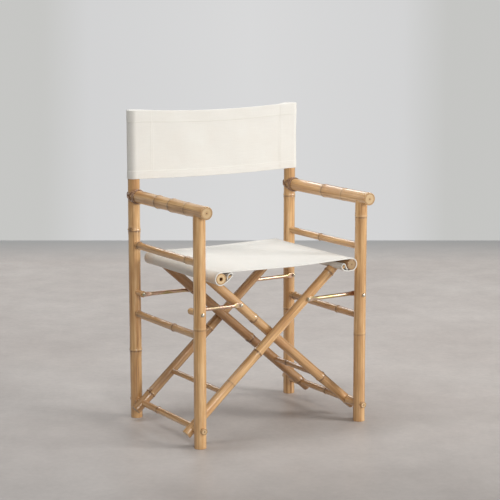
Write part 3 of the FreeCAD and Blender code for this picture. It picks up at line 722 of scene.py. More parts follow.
def make_frame_fasteners(side):
    """Link bolts, nuts, spacers or washers, and the axle's collars. Profiles are in millimetres."""
    name = SIDES[side]
    body = f"{name}_frame"
    collars, spacers, bolts, nuts = Surface(), Surface(), Surface(), Surface()
    for end in ENDS:
        inwards = BACK * INWARDS[end]
        axis = Vector((side * HALF_SPACING, POST_Y[end], 0))
        bolt_axis = axis + UP * LINK_HEIGHT
        add_bolt_head(bolts, bolt_axis - inwards * POST_RADIUS, -inwards)
        link_y = abs(middle(f"{name}_{end}_link").y - POST_Y[end]) / MM
        near, far = link_y - LINK_HALF_THICKNESS - 0.3, link_y + LINK_HALF_THICKNESS + 0.3
        radius = 9 if side == LEFT else 6.5
        spacer = [(8, 0), (8, radius - 1), (near - 2, radius - 0.2), (near - 0.8, radius),
                  (near - 0.3, radius - 0.4), (near, radius - 1), (near, 0)]
        add_turned(spacers, bolt_axis, inwards, spacer, tone=0.4)
        nut = [(far, 0), (far, 4.8), (far + 0.6, 5.2)]
        nut += [(far + 1.8 - distance, width) for distance, width in dome(5.2, 4.0, 0.1)[::-1]]
        add_turned(nuts, bolt_axis, inwards, nut)
        leg_face = abs(LEG_Y[side, end] - POST_Y[end]) / MM - LEG_RADIUS / MM
        bore = extent(f"{PAIRS[side]}_lower_rung").z / 2 / MM + 0.3
        collar = [(8, bore), (8, 12), (leg_face - 2.5, 12.9), (leg_face - 1.2, 13), (leg_face - 0.5, 12.4),
                  (leg_face - 0.3, 11.6), (leg_face - 0.3, bore), (8, bore)]
        add_turned(collars, axis + UP * AXLE_HEIGHT, inwards, collar, tone=0.2)
    wooden, metal = (BAMBOO, "turned_wood"), (STEEL, "bolt_steel")
    spacer_kind = ("link_spacers", wooden) if side == LEFT else ("link_washers", metal)
    for surface, (kind, (material, slot)) in (
        (collars, ("axle_collars", wooden)),
        (spacers, spacer_kind),
        (bolts, ("link_bolts", metal)),
        (nuts, ("link_nuts", metal)),
    ):
        fasten(surface.make(f"{name}_{kind}", [material]), body, [f"{name}_{kind}"])


# widths of half a link from its rounded end to its tube: (distance from the bolt, half width), in millimetres
LINK_HALF_WIDTH, LINK_HALF_THICKNESS, LINK_TUBE_RADIUS = 6.6, 1.5, 5.4
LINK_END = [(5, LINK_HALF_WIDTH), (9, LINK_HALF_WIDTH + 0.15), (12.5, LINK_HALF_WIDTH + 0.1), (16, 6.4), (19, 6.0),
            (22.5, 5.6), (26, LINK_TUBE_RADIUS)]


def make_link(side, end):
    """A steel tube with hammered-flat, rounded ends, and the bolt at its leg end."""
    node = f"{SIDES[side]}_{end}_link"
    bolt = middle(f"{node}_leg_bolt")
    y = middle(node).y
    start = Vector((side * HALF_SPACING, y, LINK_HEIGHT))
    finish = Vector((bolt.x, y, bolt.z))
    axis = (finish - start).normalized()
    length = (finish - start).length / MM
    rows = [(-LINK_HALF_WIDTH, 0.0)]
    rows += [(-LINK_HALF_WIDTH * math.cos(angle), LINK_HALF_WIDTH * math.sin(angle))
             for angle in np.linspace(0.3, math.pi / 2, 7)]
    rows += LINK_END + [(place, LINK_TUBE_RADIUS) for place in np.linspace(32, length / 2, 6)]
    rows += [(length - place, width) for place, width in reversed(rows[:-1])]
    theta = turn_angles(36)
    rings, grain = [], []
    other = axis.cross(BACK).normalized()
    for place, width in rows:
        inward = min(place, length - place)
        roundness = min(1, max(0, (inward - 12) / 14))
        roundness = roundness * roundness * (3 - 2 * roundness)
        thickness = LINK_HALF_THICKNESS + (LINK_TUBE_RADIUS - LINK_HALF_THICKNESS) * roundness
        if inward < 0:
            thickness *= min(1, 0.55 + 0.45 * width / LINK_HALF_WIDTH) * (width > 0)
        power = 0.28 + 0.72 * roundness
        u, v = (size * MM * np.sign(wave) * np.abs(wave) ** power
                for size, wave in ((width, np.cos(theta)), (thickness, np.sin(theta))))
        rings.append(np.array(start + axis * place * MM) + np.outer(u, other) + np.outer(v, BACK))
        grain.append(np.stack([u + side, v + POST_Y[end], 0 * u + place * MM], -1))
    surface = Surface()
    surface.add_rings(np.array(rings), np.array(grain))
    fasten(surface.make(node, [ZINC], 40), node, [node])
    head = Surface()
    outwards = -BACK * INWARDS[end]
    add_bolt_head(head, finish + outwards * LINK_HALF_THICKNESS * MM, outwards, 5.3, 3.2)
    fasten(head.make(f"{node}_leg_bolt", [STEEL]), node, [f"{node}_leg_bolt"])


# ---------------------------------------------------------------- lashings


def smooth_path(points, count, closed=False):
    """Evenly spaced points on a Catmull-Rom curve through the given points."""
    points = np.asarray(points, float)
    if closed:
        padded = np.vstack([points[-1], points, points[0], points[1]])
    else:
        padded = np.vstack([2 * points[0] - points[1], points, 2 * points[-1] - points[-2]])
    fine = []
    for a, b, c, d in zip(padded, padded[1:], padded[2:], padded[3:]):
        for t in np.linspace(0, 1, 24, endpoint=False):
            fine.append(0.5 * (2 * b + (c - a) * t + (2 * a - 5 * b + 4 * c - d) * t**2
                               + (3 * b - a - 3 * c + d) * t**3))
    fine.append(padded[-2])
    fine = np.array(fine)
    reach = path_reach(fine)
    wanted = np.linspace(0, reach[-1], count)
    return np.stack([np.interp(wanted, reach, fine[:, k]) for k in range(fine.shape[1])], -1)


STRIP_WIDTH = 3.6 * MM
STRIP_THICKNESS = 2.3 * MM
STRIP_PITCH = 4.4 * MM
FROM_POST, FROM_ARM = np.array((1, 1, 0)), np.array((1, 0, 1))  # what is left of a place beside each axis


def add_strip(surface, points, normals, tone, seed):
    """A flat strip of cane with rounded edges along a path, its flat side facing along the normals."""
    tangents = unit(np.gradient(points, axis=0))
    normals = unit(normals - tangents * np.sum(normals * tangents, 1, keepdims=True))
    sideways = np.cross(tangents, normals)
    outline = [(math.cos(angle), math.sin(angle)) for angle in turn_angles(16)]
    half = np.array([(abs(u) ** 0.55 * math.copysign(STRIP_WIDTH / 2, u),
                      abs(v) ** 0.8 * math.copysign(STRIP_THICKNESS / 2, v)) for u, v in outline])
    rings = (points[:, None] + half[None, :, :1] * sideways[:, None] + half[None, :, 1:] * normals[:, None])
    centres = points[[0, -1]][:, None] + 0 * rings[[0, -1]]
    rings = np.concatenate([centres[:1], rings, centres[1:]])
    reach = path_reach(points)[[0, *range(len(points)), -1]]
    grain = np.stack([half[None, :, 0] + 0 * reach[:, None] + seed, half[None, :, 1] + 0 * reach[:, None],
                      reach[:, None] + 0 * half[None, :, 0] + seed], -1)
    # the edges and the underside of each strip are marked for painted shade, which stands for the shade in the gaps
    # between strips
    edge = np.clip(np.abs(half[:, 0]) / (STRIP_WIDTH / 2) * 2 - 1.1, 0, 1) + (half[:, 1] < -STRIP_THICKNESS / 5)
    surface.add_rings(rings, grain, tone=tone, mark=np.clip(np.tile(edge, len(rings)), 0, 1))


def pushed_out(points, lift):
    """Moves points of a lashing out of the post and the armrest, and gives the directions they moved in.
    Places are relative to the crossing of the two axes."""
    for _ in range(8):
        post = points * FROM_POST
        short = np.clip(POST_RADIUS + lift - np.linalg.norm(post, axis=1), 0, None)
        points = points + unit(post) * short[:, None]
        arm = points * FROM_ARM
        on_arm = points[:, 1] < -POST_RADIUS / 3
        short = np.where(on_arm, np.clip(ARM_RADIUS + lift - np.linalg.norm(arm, axis=1), 0, None), 0)
        points = points + unit(arm) * short[:, None]
    blend = np.clip((-points[:, 1] - POST_RADIUS * 0.2) / (POST_RADIUS * 0.8), 0, 1)[:, None]
    return points, unit(points * FROM_ARM) * blend + unit(points * FROM_POST) * (1 - blend)


def make_lashing(side):
    """Split cane: rings round the armrest's end, and diagonal turns over it and round the back of the post."""
    name = SIDES[side]
    centre = np.array([side * HALF_SPACING, POST_Y["rear"], ARM_HEIGHT])
    surface = Surface()
    lift = STRIP_THICKNESS / 2
    rng = random.Random(7 + side)
    for turn in range(3):
        place = -(POST_RADIUS + STRIP_WIDTH * 0.6 + STRIP_PITCH * (turn + 0.2))
        angle = np.linspace(0, TURN, 61) + rng.uniform(0, 1)
        radius = ARM_RADIUS + lift
        wander = 0.5 * MM * np.sin(angle + turn)
        points = np.stack([radius * np.cos(angle), place + wander, radius * np.sin(angle)], -1)
        add_strip(surface, centre + points, points * FROM_ARM, rng.uniform(-0.2, 0.8), turn)
    for layer, upwards in enumerate((1, -1)):
        for turn in range(4):
            ahead = -(POST_RADIUS + STRIP_WIDTH * 0.5 + STRIP_PITCH * (turn - 0.9) * 0.9)
            behind = upwards * (STRIP_PITCH * (turn - 2.6))
            half = [(0, ahead, 1.05 * ARM_RADIUS), (0.62, ahead + 2 * MM, 0.85 * ARM_RADIUS),
                    (1.0, -0.52 * POST_RADIUS, 0.34 * ARM_RADIUS + turn * MM),
                    (0.85, 0.55 * POST_RADIUS, -behind * 0.4), (0, 1.03 * POST_RADIUS, -behind)]
            loop = [(x * POST_RADIUS * 1.05, y, upwards * z) for x, y, z in half]
            loop += [(-x * POST_RADIUS * 1.05, y, upwards * z) for x, y, z in half[-2:0:-1]]
            points = smooth_path(loop, 97, closed=True)
            points, normals = pushed_out(points, lift + (layer * 0.6 + 0.2) * STRIP_THICKNESS)
            add_strip(surface, centre + points, normals, rng.uniform(-0.9, 0.5), 10 * layer + turn + 5)
    node = f"{name}_armrest_lashing"
    fasten(surface.make(node, [CANE]), f"{name}_frame", [node])


# ---------------------------------------------------------------- canvas

CLOTH = 1.3 * MM
HEM = 2.5 * MM
SEAT_HEM = 3.0 * MM
SEAT_HEM_WIDTH = 13 * MM
STITCH_PITCH = 3.6 * MM
STITCH_LENGTH = 2.6 * MM
STITCH_RADIUS = 0.36 * MM
SEAM_INSET = 1.8 * MM


class Sheet:
    """Cloth given by its middle surface: rows of points along it, columns across it."""

    def __init__(self, points, thickness, flip=1):
        self.points = np.asarray(points, float)
        self.thickness = np.asarray(thickness, float)
        along = np.gradient(self.points, axis=0)
        across = np.gradient(self.points, axis=1)
        self.normals = unit(np.cross(along, across) * flip)
        steps = np.linalg.norm(np.diff(self.points, axis=0), axis=2)
        self.reach = np.vstack([np.zeros(self.points.shape[1]), np.cumsum(steps, axis=0)])
        steps = np.linalg.norm(np.diff(self.points, axis=1), axis=2)
        self.width = np.hstack([np.zeros((len(self.points), 1)), np.cumsum(steps, axis=1)])

    def length(self):
        return float(self.reach[-1].mean())

    def add_to(self, surface):
        rows, columns = self.points.shape[:2]
        half = self.normals * self.thickness[..., None] / 2
        grain = np.stack([self.reach, self.width, 0 * self.reach], -1)
        top, bottom = self.points + half, self.points - half
        count = rows * columns
        faces = grid_faces(rows, columns)
        faces += [tuple(corner + count for corner in face[::-1]) for face in faces]
        edge = [i * columns for i in range(rows)] + [(rows - 1) * columns + j for j in range(1, columns)]
        edge += [i * columns + columns - 1 for i in range(rows - 2, -1, -1)] + list(range(columns - 2, 0, -1))
        for a, b in zip(edge, edge[1:] + edge[:1]):
            faces.append((a + count, b + count, b, a)[::-1])
        surface.add(np.stack([top, bottom]), faces, np.stack([grain, grain]))

    def at(self, row, column, top=1):
        """A point on the surface and its normal, at fractional row and column."""
        i, j = min(int(row), len(self.points) - 2), min(int(column), self.points.shape[1] - 2)
        s, t = row - i, column - j

        def between(values):
            first = values[i, j] * (1 - t) + values[i, j + 1] * t
            second = values[i + 1, j] * (1 - t) + values[i + 1, j + 1] * t
            return first * (1 - s) + second * s

        normal = between(self.normals) * top
        return between(self.points) + normal * between(self.thickness) / 2, normal


# rings of a stitch: (share of its length, size, height), the last two as shares of its radius
STITCH_RINGS = ((0, 0, -0.5), (0.06, 0.7, -0.2), (0.3, 1, 0.25), (0.7, 1, 0.25), (0.94, 0.7, -0.2), (1, 0, -0.5))


def add_stitch(surface, start, end, normal, slot):
    """One stitch: a short thread that dips into the cloth at both ends."""
    axis = end - start
    length = np.linalg.norm(axis)
    axis = axis / length
    sideways = np.cross(axis, normal)
    rings = []
    for share, size, rise in STITCH_RINGS:
        centre = start + axis * length * share + normal * STITCH_RADIUS * rise
        rings.append([centre + (sideways * math.cos(angle) * 1.15 + normal * math.sin(angle)) * STITCH_RADIUS * size
                      for angle in turn_angles(6)])
    rings = np.array(rings)
    surface.add_rings(rings, rings - start, slot)


def vector_at(place, reach, vectors):
    return np.array([np.interp(place, reach, vectors[:, k]) for k in range(3)])


def stitch_line(surface, sheet, path, slot=1, skip=None):
    """Stitches along a path of (row, column) places, on both sides of a sheet."""
    for top in (1, -1):
        points, normals = zip(*(sheet.at(row, column, top) for row, column in path))
        points, normals = np.array(points), np.array(normals)
        reach = path_reach(points)
        starts = np.arange(STITCH_PITCH / 2, reach[-1] - STITCH_LENGTH, STITCH_PITCH)
        for place in starts:
            start, end = (vector_at(p, reach, points) for p in (place, place + STITCH_LENGTH))
            normal = vector_at(place, reach, normals)
            if not (skip and (skip(start) or skip(end))):
                add_stitch(surface, start, end, unit(normal), slot)


def across_places(low, high, hem_low, hem_high, pitch=7 * MM):
    """Places across a sheet, closer together at its edges and where a hem ends."""
    fine = [0, 0.15, 0.45, 0.9, 1.6, 3]
    places = [low + step * MM for step in fine] + [high - step * MM for step in fine]
    for hem_end in (low + hem_low, high - hem_high):
        places += [hem_end + step * MM for step in (-2.4, -1.8, -1.2, -0.7, -0.3, 0, 0.3, 0.7, 1.2)]
    gaps = np.arange(low + 4 * MM, high - 4 * MM, pitch)
    places += [g for g in gaps if min(abs(g - p) for p in places) > pitch / 3]
    return np.array(sorted(places))


def hem_seams(low, high, hem_low, hem_high):
    """Where the two hems across a sheet are stitched."""
    return low + hem_low - SEAM_INSET, high - hem_high + SEAM_INSET


def hem_thickness(places, low, high, hem_low, hem_high, hem=HEM):
    """Thickness across a sheet: double at its hems, rounded at its edges, pinched where it is stitched."""
    in_low = 0.5 - 0.5 * np.tanh((places - low - hem_low) / (0.5 * MM))
    in_high = 0.5 - 0.5 * np.tanh((high - hem_high - places) / (0.5 * MM))
    thickness = CLOTH + (hem - CLOTH) * np.maximum(in_low, in_high)
    for seam in hem_seams(low, high, hem_low, hem_high):
        thickness = thickness - 0.45 * MM * bump_at(places - seam, 0.6 * MM)
    edge = np.minimum(places - low, high - places)
    rounding = 0.9 * MM
    share = np.clip(edge / rounding, 0, 1)
    return thickness * np.sqrt(np.clip(1 - (1 - share) ** 2, 0.02, 1))


def along_hems(surface, sheet, places, seams, first, last, count, slot=1):
    """Lines of stitches along a sheet's rows, at the given places across it."""
    for seam in seams:
        column = np.interp(seam, places, np.arange(len(places)))
        stitch_line(surface, sheet, [(row, column) for row in np.linspace(first, last, count)], slot)


# The seat's end round its rail: places in millimetres from the rail's axis, inboard and up.
# The left pocket points up, the right one hangs down.
POCKETS = {
    LEFT: {
        "leave": -50,
        "points": [(22.0, -6.2), (29.5, 0.4), (34.6, 5.6), (35.6, 10.2), (32.0, 12.6), (26.4, 11.6), (22.4, 8.6),
                   (20.4, 4.0), (20.0, 0.0), (19.4, -3.0)],
        "stick": (27.8, 3.9),
        "stick_turn": 44,
    },
    RIGHT: {
        "leave": -84,
        "points": [(10.0, -17.4), (18.0, -16.0), (25.6, -13.4), (31.0, -8.8), (32.6, -2.8), (30.2, 2.2),
                   (25.6, 4.0), (21.6, 1.4), (19.2, -4.0), (17.0, -8.8), (13.6, -12.8)],
        "stick": (25.2, -5.2),
        "stick_turn": 112,
    },
}
SEAT_SAG = 4 * MM


def loop_path(side):
    """The cloth's middle line from the top of a seat rail round its outside into the pocket."""
    rail = RAIL[side]
    radius = RAIL_RADIUS + 0.3 * MM + SEAT_HEM / 2
    pocket = POCKETS[side]
    line = [(radius * math.cos(a), radius * math.sin(a))
            for a in np.radians(np.linspace(90, 360 + pocket["leave"], 44))]
    tail = [line[-1]] + [(x * MM, z * MM) for x, z in pocket["points"]]
    line = line[:-1] + [tuple(p) for p in smooth_path(tail, 44)]
    return np.array([(rail.x - side * x, rail.z + z) for x, z in line])


def make_seat():
    """The sling: one canvas from the left pocket over both rails to the right pocket."""
    left, right = loop_path(LEFT)[::-1], loop_path(RIGHT)
    top = left[-1][1]
    span = np.linspace(left[-1][0], right[0][0], 60)[1:-1]
    share = (span - left[-1][0]) / (right[0][0] - left[-1][0])
    middle_line = [(x, top) for x in span]
    outline = np.vstack([left, middle_line, right])
    low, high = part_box("seat_panel")[0].y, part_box("seat_panel")[1].y
    hems = (low, high, SEAT_HEM_WIDTH, SEAT_HEM_WIDTH)
    places = across_places(*hems)
    thickness = hem_thickness(places, *hems, SEAT_HEM) + 0 * outline[:, :1]
    points = np.stack(np.broadcast_arrays(outline[:, :1], places, outline[:, 1:]), -1)
    sag_rows = np.zeros(len(outline))
    sag_rows[len(left):len(left) + len(share)] = np.sin(math.pi * share) ** 1.5
    across = (places - low) / (high - low)
    points[..., 2] -= SEAT_SAG * np.outer(sag_rows, 0.75 + 0.25 * np.sin(math.pi * across))
    ripple_seat(points, len(left), len(share))
    sheet = Sheet(points, thickness)
    surface, stitches = Surface(), Surface()
    sheet.add_to(surface)
    along_hems(stitches, sheet, places, hem_seams(*hems), 10, len(outline) - 11, 260, slot=0)
    for row in (len(left) - 46, len(outline) - len(right) + 46):
        path = [(row, column) for column in np.linspace(3, len(places) - 4, 120)]
        stitch_line(stitches, sheet, path, slot=0, skip=in_notch)
    seat = surface.make("canvas_seat", [CANVAS], 60)
    notch_seat(seat)
    stitching = stitches.make("canvas_seat_stitching", [THREAD])
    for piece in (seat, stitching):
        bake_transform(piece)
    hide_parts("seat_panel", "left_seat_loop", "right_seat_loop")


def in_notch(point):
    """Whether a point is where a leg's notch is cut from the cloth."""
    for side in SIDES:
        for end in ENDS:
            arm = Vector(point) - leg_ends(side, end)[1]
            axis = leg_direction(side)
            if arm.length < 0.08 and (arm - axis * arm.dot(axis)).length < LEG_RADIUS + 3.5 * MM:
                return True
    return False


def ripple_seat(points, first, count):
    """Soft pulls in the sheet: long weft ripples beside the rails, and folds on the outside of the loops."""
    row = np.arange(len(points))[:, None]
    x, y = points[..., 0], points[..., 1]
    inside = (row >= first) & (row < first + count)
    fade = np.exp(-((HALF_SPACING * 0.8 - np.abs(x)) / (70 * MM)) ** 2)
    pulls = 0.45 * MM * np.sin(y / (17 * MM) + 1.3 * np.sin(y / (41 * MM))) * fade
    broad = 0.7 * MM * np.sin(x / (66 * MM) + 0.8) * np.sin(y / (95 * MM) + 0.4)
    points[..., 2] += np.where(inside, pulls + broad * (1 - fade), 0)
    for side in SIDES:
        outside = np.clip((side * (x - RAIL[side].x)) / RAIL_RADIUS, 0, 1)
        near_front = np.exp(-((y - points[0, 0, 1] - 30 * MM) / (34 * MM)) ** 2)
        folds = 0.55 * MM * (0.5 + 0.5 * np.sin(y / (4.6 * MM) + 2 * side)) * (0.25 + near_front) * outside
        points[..., 0] += side * folds


def notch_seat(seat):
    """Cuts the cloth away where the legs go up to the rails."""
    cutters = []
    radius, length = LEG_RADIUS / MM + 1.6, 89.5
    for side in SIDES:
        for end in ENDS:
            surface = Surface()
            axis = leg_direction(side)
            base = leg_ends(side, end)[1] - axis * 0.09
            add_turned(surface, base, axis, [(0, 0), (0, radius), (length, radius), (length, 0)], segments=48)
            cutters.append(surface.make(f"notch_{side}_{end}", [CANVAS]))
    for cutter in cutters:
        modifier = seat.modifiers.new("notch", "BOOLEAN")
        modifier.operation = "DIFFERENCE"
        modifier.object = cutter
        modifier.solver = "EXACT"
    graph = bpy.context.evaluated_depsgraph_get()
    seen = seat.evaluated_get(graph)
    cut = bpy.data.meshes.new_from_object(seen, preserve_all_data_layers=True, depsgraph=graph)
    seat.modifiers.clear()
    seat.data = cut
    for cutter in cutters:
        bpy.data.objects.remove(cutter)


def make_hem_sticks(side):
    """A split bamboo slat in each pocket, in three lengths between the legs."""
    name = SIDES[side]
    node = f"{name}_hem_sticks"
    low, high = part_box(node)
    pocket = POCKETS[side]
    x = RAIL[side].x - side * pocket["stick"][0] * MM
    z = RAIL[side].z + pocket["stick"][1] * MM
    gap = LEG_RADIUS + 2.2 * MM
    stops = [low.y + 1.5 * MM]
    for end in ENDS:
        stops += [LEG_Y[-side, end] - gap, LEG_Y[-side, end] + gap]
    stops.append(high.y - 1.5 * MM)
    surface = Surface()
    for number in range(3):
        add_slat(surface, Vector((x, stops[2 * number], z)), stops[2 * number + 1] - stops[2 * number],
                 math.radians(pocket["stick_turn"]) * -side, 150 + 10 * side + number)
    fasten(surface.make(node, [BAMBOO]), f"{PAIRS[-side]}_legs", [node])


def add_slat(surface, start, length, turn, seed):
    """A flat stick with rounded edges and rough sawn ends that show its pores."""
    rng = random.Random(seed)
    segments = 24
    theta = turn_angles(segments)
    wide, thin = 5.0, 2.5
    first = [(0.2, 0), (0.1, 0.25), (0.3, 0.5), (0, 0.78), (0.25, 0.95), (0.8, 1)]
    rows = first + [(place, 1) for place in np.arange(6, length / MM - 5, 12.0)]
    rows += [(length / MM - place, share) for place, share in reversed(first)]
    rings, grain, cuts, marks = [], [], [], []
    for place, share in rows:
        rough = 0.3 * share * np.sin(3 * theta + rng.uniform(0, 6)) * (share < 0.9)
        u, v = wide * share * np.cos(theta), thin * share * np.sin(theta)
        x, z = u * math.cos(turn) - v * math.sin(turn), u * math.sin(turn) + v * math.cos(turn)
        rings.append(np.stack([start.x + x * MM, start.y + (place + rough) * MM, start.z + z * MM], -1))
        grain.append(np.stack([u * MM, v * MM, 0 * u + place * MM + seed], -1))
        cuts.append(np.full(segments, 1.0 if share < 0.9 else 0.0))
        marks.append(np.clip(0.9 - np.hypot((u - 2.0) / 1.6, v / 1.4), 0, 0.9) * (share < 0.9))
    surface.add_rings(np.array(rings), np.array(grain), cut=np.array(cuts), mark=np.array(marks), tone=0.2)


SEAM_REACH = 70 * MM
SLEEVE_TURN = 213  # degrees round the post, from its front to where the cloth leaves for the seam
BACK_HEMS = (BACK_BOTTOM, BACK_TOP, 22 * MM, 33 * MM)  # lower and upper edge, and how wide their hems are
BACK_SAG_TOP, BACK_SAG_BOTTOM = 8 * MM, 4.5 * MM


def back_sag(x, up):
    """How far the back's cloth hangs below a straight line between the posts."""
    span = HALF_SPACING - POST_RADIUS
    share = np.clip(1 - (x / span) ** 2, 0, 1)
    return (BACK_SAG_BOTTOM + (BACK_SAG_TOP - BACK_SAG_BOTTOM) * up) * share**1.3


def sleeve_path(side):
    """Plan view of a sleeve: the front layer from its seam, round the post, and the back layer to the seam."""
    x = side * HALF_SPACING
    y = POST_Y["rear"]
    radius = POST_RADIUS + 0.6 * MM + CLOTH / 2
    seam_x = x - side * (SEAM_REACH - POST_RADIUS)
    front = [(seam_x + (x - seam_x) * share, y - radius) for share in np.linspace(0, 1, 14)[:-1]]
    wrap = [(x + side * radius * math.sin(a), y - radius * math.cos(a))
            for a in np.radians(np.linspace(0, SLEEVE_TURN, 38))]
    seam_y = y - radius + HEM * 0.9
    leave = np.array(wrap[-1])
    near = np.array((seam_x, seam_y)) + 0.12 * (leave - (seam_x, seam_y)) * (1, 0.55)
    bend = [tuple(leave + (near - leave) * share) for share in (0, 0.3, 0.65, 1)] + [(seam_x, seam_y)]
    back = [tuple(p) for p in smooth_path(bend, 24)[1:]]
    return np.array(front + wrap + back), seam_x


def make_back_sleeve(side):
    """The end of the back: cloth round the rear post, sewn to itself along an upright seam."""
    name = SIDES[side]
    path, _ = sleeve_path(side)
    places = across_places(*BACK_HEMS)
    points = np.stack(np.broadcast_arrays(path[:, :1], path[:, 1:], places), -1)
    share = np.linspace(0, 1, len(path))[:, None]
    up = (places - BACK_BOTTOM) / (BACK_TOP - BACK_BOTTOM)
    points[..., 1] += 0.5 * MM * np.sin(9 * up + 3 * side) * np.sin(math.pi * share)
    points[..., 2] -= back_sag(path[:, :1], up)
    taper = np.clip(0.3 + 0.35 * np.arange(len(path)), 0, 1)[:, None]
    sheet = Sheet(points, hem_thickness(places, *BACK_HEMS) * taper, flip=side)
    surface = Surface()
    sheet.add_to(surface)
    along_hems(surface, sheet, places, hem_seams(*BACK_HEMS), 0.5, len(path) - 2, 160)
    for row in (0.9, 2.2):
        stitch_line(surface, sheet, [(row, column) for column in np.linspace(2, len(places) - 3, 90)])
    add_sleeve_lid(surface, path)
    made = surface.make(f"{name}_back_sleeve", [CANVAS, THREAD], 60)
    fasten(made, f"{name}_frame", [f"{name}_back_sleeve"])


def add_sleeve_lid(surface, path):
    """The folded top of the sleeve, which closes it over the post."""
    count = len(path) // 2
    ladder = []
    for step in range(count + 1):
        front, back = path[step], path[-1 - step]
        row = []
        for share in np.linspace(0, 1, 9):
            x, y = front * (1 - share) + back * share
            row.append((x, y, BACK_TOP - back_sag(x, 1) - 0.9 * MM + 0.5 * MM * math.sin(math.pi * share)))
        ladder.append(row)
    Sheet(ladder, np.full((count + 1, 9), 1.1 * MM)).add_to(surface)


def make_back_panel():
    """The canvas between the two sleeves, carried by the left frame as the chair folds."""
    path_left, seam_left = sleeve_path(LEFT)
    seam_right = sleeve_path(RIGHT)[1]
    tuck = 9 * MM
    y = path_left[0][1] + CLOTH * 0.3
    columns = np.linspace(seam_left - tuck, seam_right + tuck, 76)[:, None]
    places = across_places(*BACK_HEMS)
    up = ((places - BACK_BOTTOM) / (BACK_TOP - BACK_BOTTOM))[None, :]
    share = np.linspace(0, 1, len(columns))[:, None]
    free = np.sin(math.pi * share) ** 0.5
    depth = y + 1.1 * MM * np.sin(15 * share + 2.2 * up) * np.sin(math.pi * up * 0.9 + 0.2) * free
    depth += 1.6 * MM * np.sin(math.pi * share) * (0.4 + 0.6 * up)
    points = np.stack(np.broadcast_arrays(columns, depth, places - back_sag(columns, up)), -1)
    sheet = Sheet(points, hem_thickness(places, *BACK_HEMS) + 0 * columns)
    surface = Surface()
    sheet.add_to(surface)
    along_hems(surface, sheet, places, hem_seams(*BACK_HEMS), 1, len(columns) - 2, 200)
    panel = surface.make("canvas_back", [CANVAS, THREAD], 60)
    fasten(panel, "left_frame", ["back_panel"])
    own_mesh(panel)


# ---------------------------------------------------------------- the whole chair

for side in SIDES:
    make_frame_poles(side)
    make_frame_fasteners(side)
    make_lashing(side)
    make_leg_poles(side)
    make_seat_rail(side)
    make_hem_sticks(side)
    for end in ENDS:
        make_link(side, end)
make_seat()
for side in SIDES:
    make_back_sleeve(side)
make_back_panel()

for name, node in frame["nodes"].items():
    if not node.hide_render:
        node.data.materials.clear()
        node.data.materials.append(STEEL if "insert" in name else WOOD)


# ---------------------------------------------------------------- floor, light and camera


def make_floor():
    """A pale, slightly glossy concrete floor that ends some way behind the chair, its colour brightened towards the
    back: painted light.
    """
    s = Shader("pale_concrete")
    place = s.node("ShaderNodeTexCoord", output="Object")
    cloud = s.noise(place, 1.6, 5, 0.6)
    fine = s.noise(place, 60, 4, 0.6)
    patches = s.noise(place, 9, 6, 0.65)
    colour = s.ramp(cloud, (0.3, (0.450, 0.413, 0.392)), (0.7, (0.495, 0.465, 0.445)))
    colour = s.shade(colour, patches, 0.3, 0.7, 0.93, 1.05)
    colour = s.shade(colour, fine, 0.3, 0.7, 0.95, 1.03)
    behind = s.part(place, 1)
    # painted light: the colour grows brighter towards the back and fades to pale grey at the far edge, a gradient
    # standing for how the floor is lit
    colour = s.shade(colour, behind, -1.2, FLOOR_REACH, 0.78, 2.3)
    fade = s.range(behind, FLOOR_REACH - 0.6, FLOOR_REACH - 0.03)
    s.set(Base_Color=s.mix(fade, colour, (0.80, 0.80, 0.80)), Roughness=s.range(cloud, 0.3, 0.7, 0.34, 0.5))
    s.set(Specular_IOR_Level=0.35, Normal=s.bump(fine, 0.0006, 0.3))
    mesh = bpy.data.meshes.new("floor")
    corners = [(-7, -7, 0), (7, -7, 0), (7, FLOOR_REACH, 0), (-7, FLOOR_REACH, 0)]
    mesh.from_pydata(corners, [], [(0, 1, 2, 3)])
    mesh.materials.append(s.material)
    floor = bpy.data.objects.new("floor", mesh)
    floor.rotation_euler.z = math.radians(CAMERA_AZIMUTH)
    bpy.context.scene.collection.objects.link(floor)


def add_light(name, place, target, size, watts, colour=(1, 1, 1)):
    light = bpy.data.lights.new(name, "AREA")
    light.shape = "RECTANGLE"
    light.size, light.size_y = size
    light.energy = watts
    light.color = colour
    holder = bpy.data.objects.new(name, light)
    holder.location = place
    holder.rotation_euler = (Vector(target) - Vector(place)).to_track_quat("-Z", "Y").to_euler()
    bpy.context.scene.collection.objects.link(holder)


CAMERA_AZIMUTH = -31.62
CAMERA_ELEVATION = 9.66
CAMERA_DISTANCE = 4.488
CAMERA_LENS = 114.88
CAMERA_TARGET = Vector((0.0098, 0.0095, 0.4874))
FLOOR_REACH = 3.15


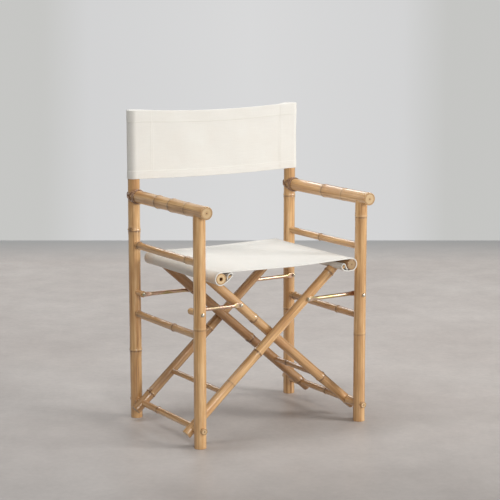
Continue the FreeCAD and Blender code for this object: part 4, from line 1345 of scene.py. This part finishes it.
def make_camera():
    camera = bpy.data.objects.new("camera", bpy.data.cameras.new("camera"))
    camera.data.lens = CAMERA_LENS
    camera.data.sensor_width = 36
    azimuth, elevation = math.radians(CAMERA_AZIMUTH), math.radians(CAMERA_ELEVATION)
    level = math.cos(elevation)
    away = Vector((math.sin(azimuth) * level, -math.cos(azimuth) * level, math.sin(elevation)))
    camera.location = CAMERA_TARGET + away * CAMERA_DISTANCE
    camera.rotation_euler = (-away).to_track_quat("-Z", "Y").to_euler()
    bpy.context.scene.collection.objects.link(camera)
    bpy.context.scene.camera = camera


# brightness of the room by height, from straight down to straight up
ROOM = ((0.0, 0.30), (0.36, 0.45), (0.40, 0.655), (0.52, 0.655), (0.58, 0.13), (0.80, 0.13), (0.95, 0.26),
        (1.0, 0.26))
# and of the wall's panels, from the camera's left to its right
PANELS = ((0.0, 0.87), (0.385, 0.87), (0.41, 0.99), (0.5, 1.06), (0.585, 1.0), (0.61, 0.86), (1.0, 0.86))


def make_world():
    """A pale wall all round, just above and below the horizon, under a dimmer room with a bright ceiling."""
    world = bpy.data.worlds.new("studio")
    world.use_nodes = True
    w = Nodes(world.node_tree)
    place = w.node("ShaderNodeTexCoord", output="Generated")
    height = w.maths("MULTIPLY_ADD", w.part(place, 2), 0.5, 0.5)
    room = w.ramp(height, *((at, (value * 0.997, value * 0.999, value * 1.004)) for at, value in ROOM))
    azimuth = math.radians(CAMERA_AZIMUTH)
    rightwards = (math.cos(azimuth), math.sin(azimuth), 0)
    across = w.node("ShaderNodeVectorMath", {0: place, 1: rightwards}, output="Value", operation="DOT_PRODUCT")
    panels = w.ramp(w.maths("MULTIPLY_ADD", across, 0.9, 0.5), *(
        (at, (value / 1.1, value / 1.1, value * (0.97 if value < 0.9 else 1.0) / 1.1)) for at, value in PANELS))
    background = w.tree.nodes["Background"]
    w.give(background.inputs[0], w.scaled(room, panels))
    w.give(background.inputs[1], 1.1)
    bpy.context.scene.world = world


make_camera()
make_floor()
make_world()
add_light("overhead", (-0.3, 0.1, 2.5), (0, 0, 0.3), (0.45, 2.4), 26)
add_light("key", (2.9, -2.9, 1.9), (0, 0, 0.5), (1.2, 1.2), 118, (1, 0.985, 0.965))
add_light("front_fill", (-1.3, -4.2, 1.9), (0, 0, 0.4), (1.2, 1.2), 58, (1, 0.99, 0.97))
add_light("back_light", (0.9, 3.3, 2.5), (0, 0, 0.4), (2.4, 0.5), 24)
bpy.context.scene.view_settings.view_transform = "Standard"
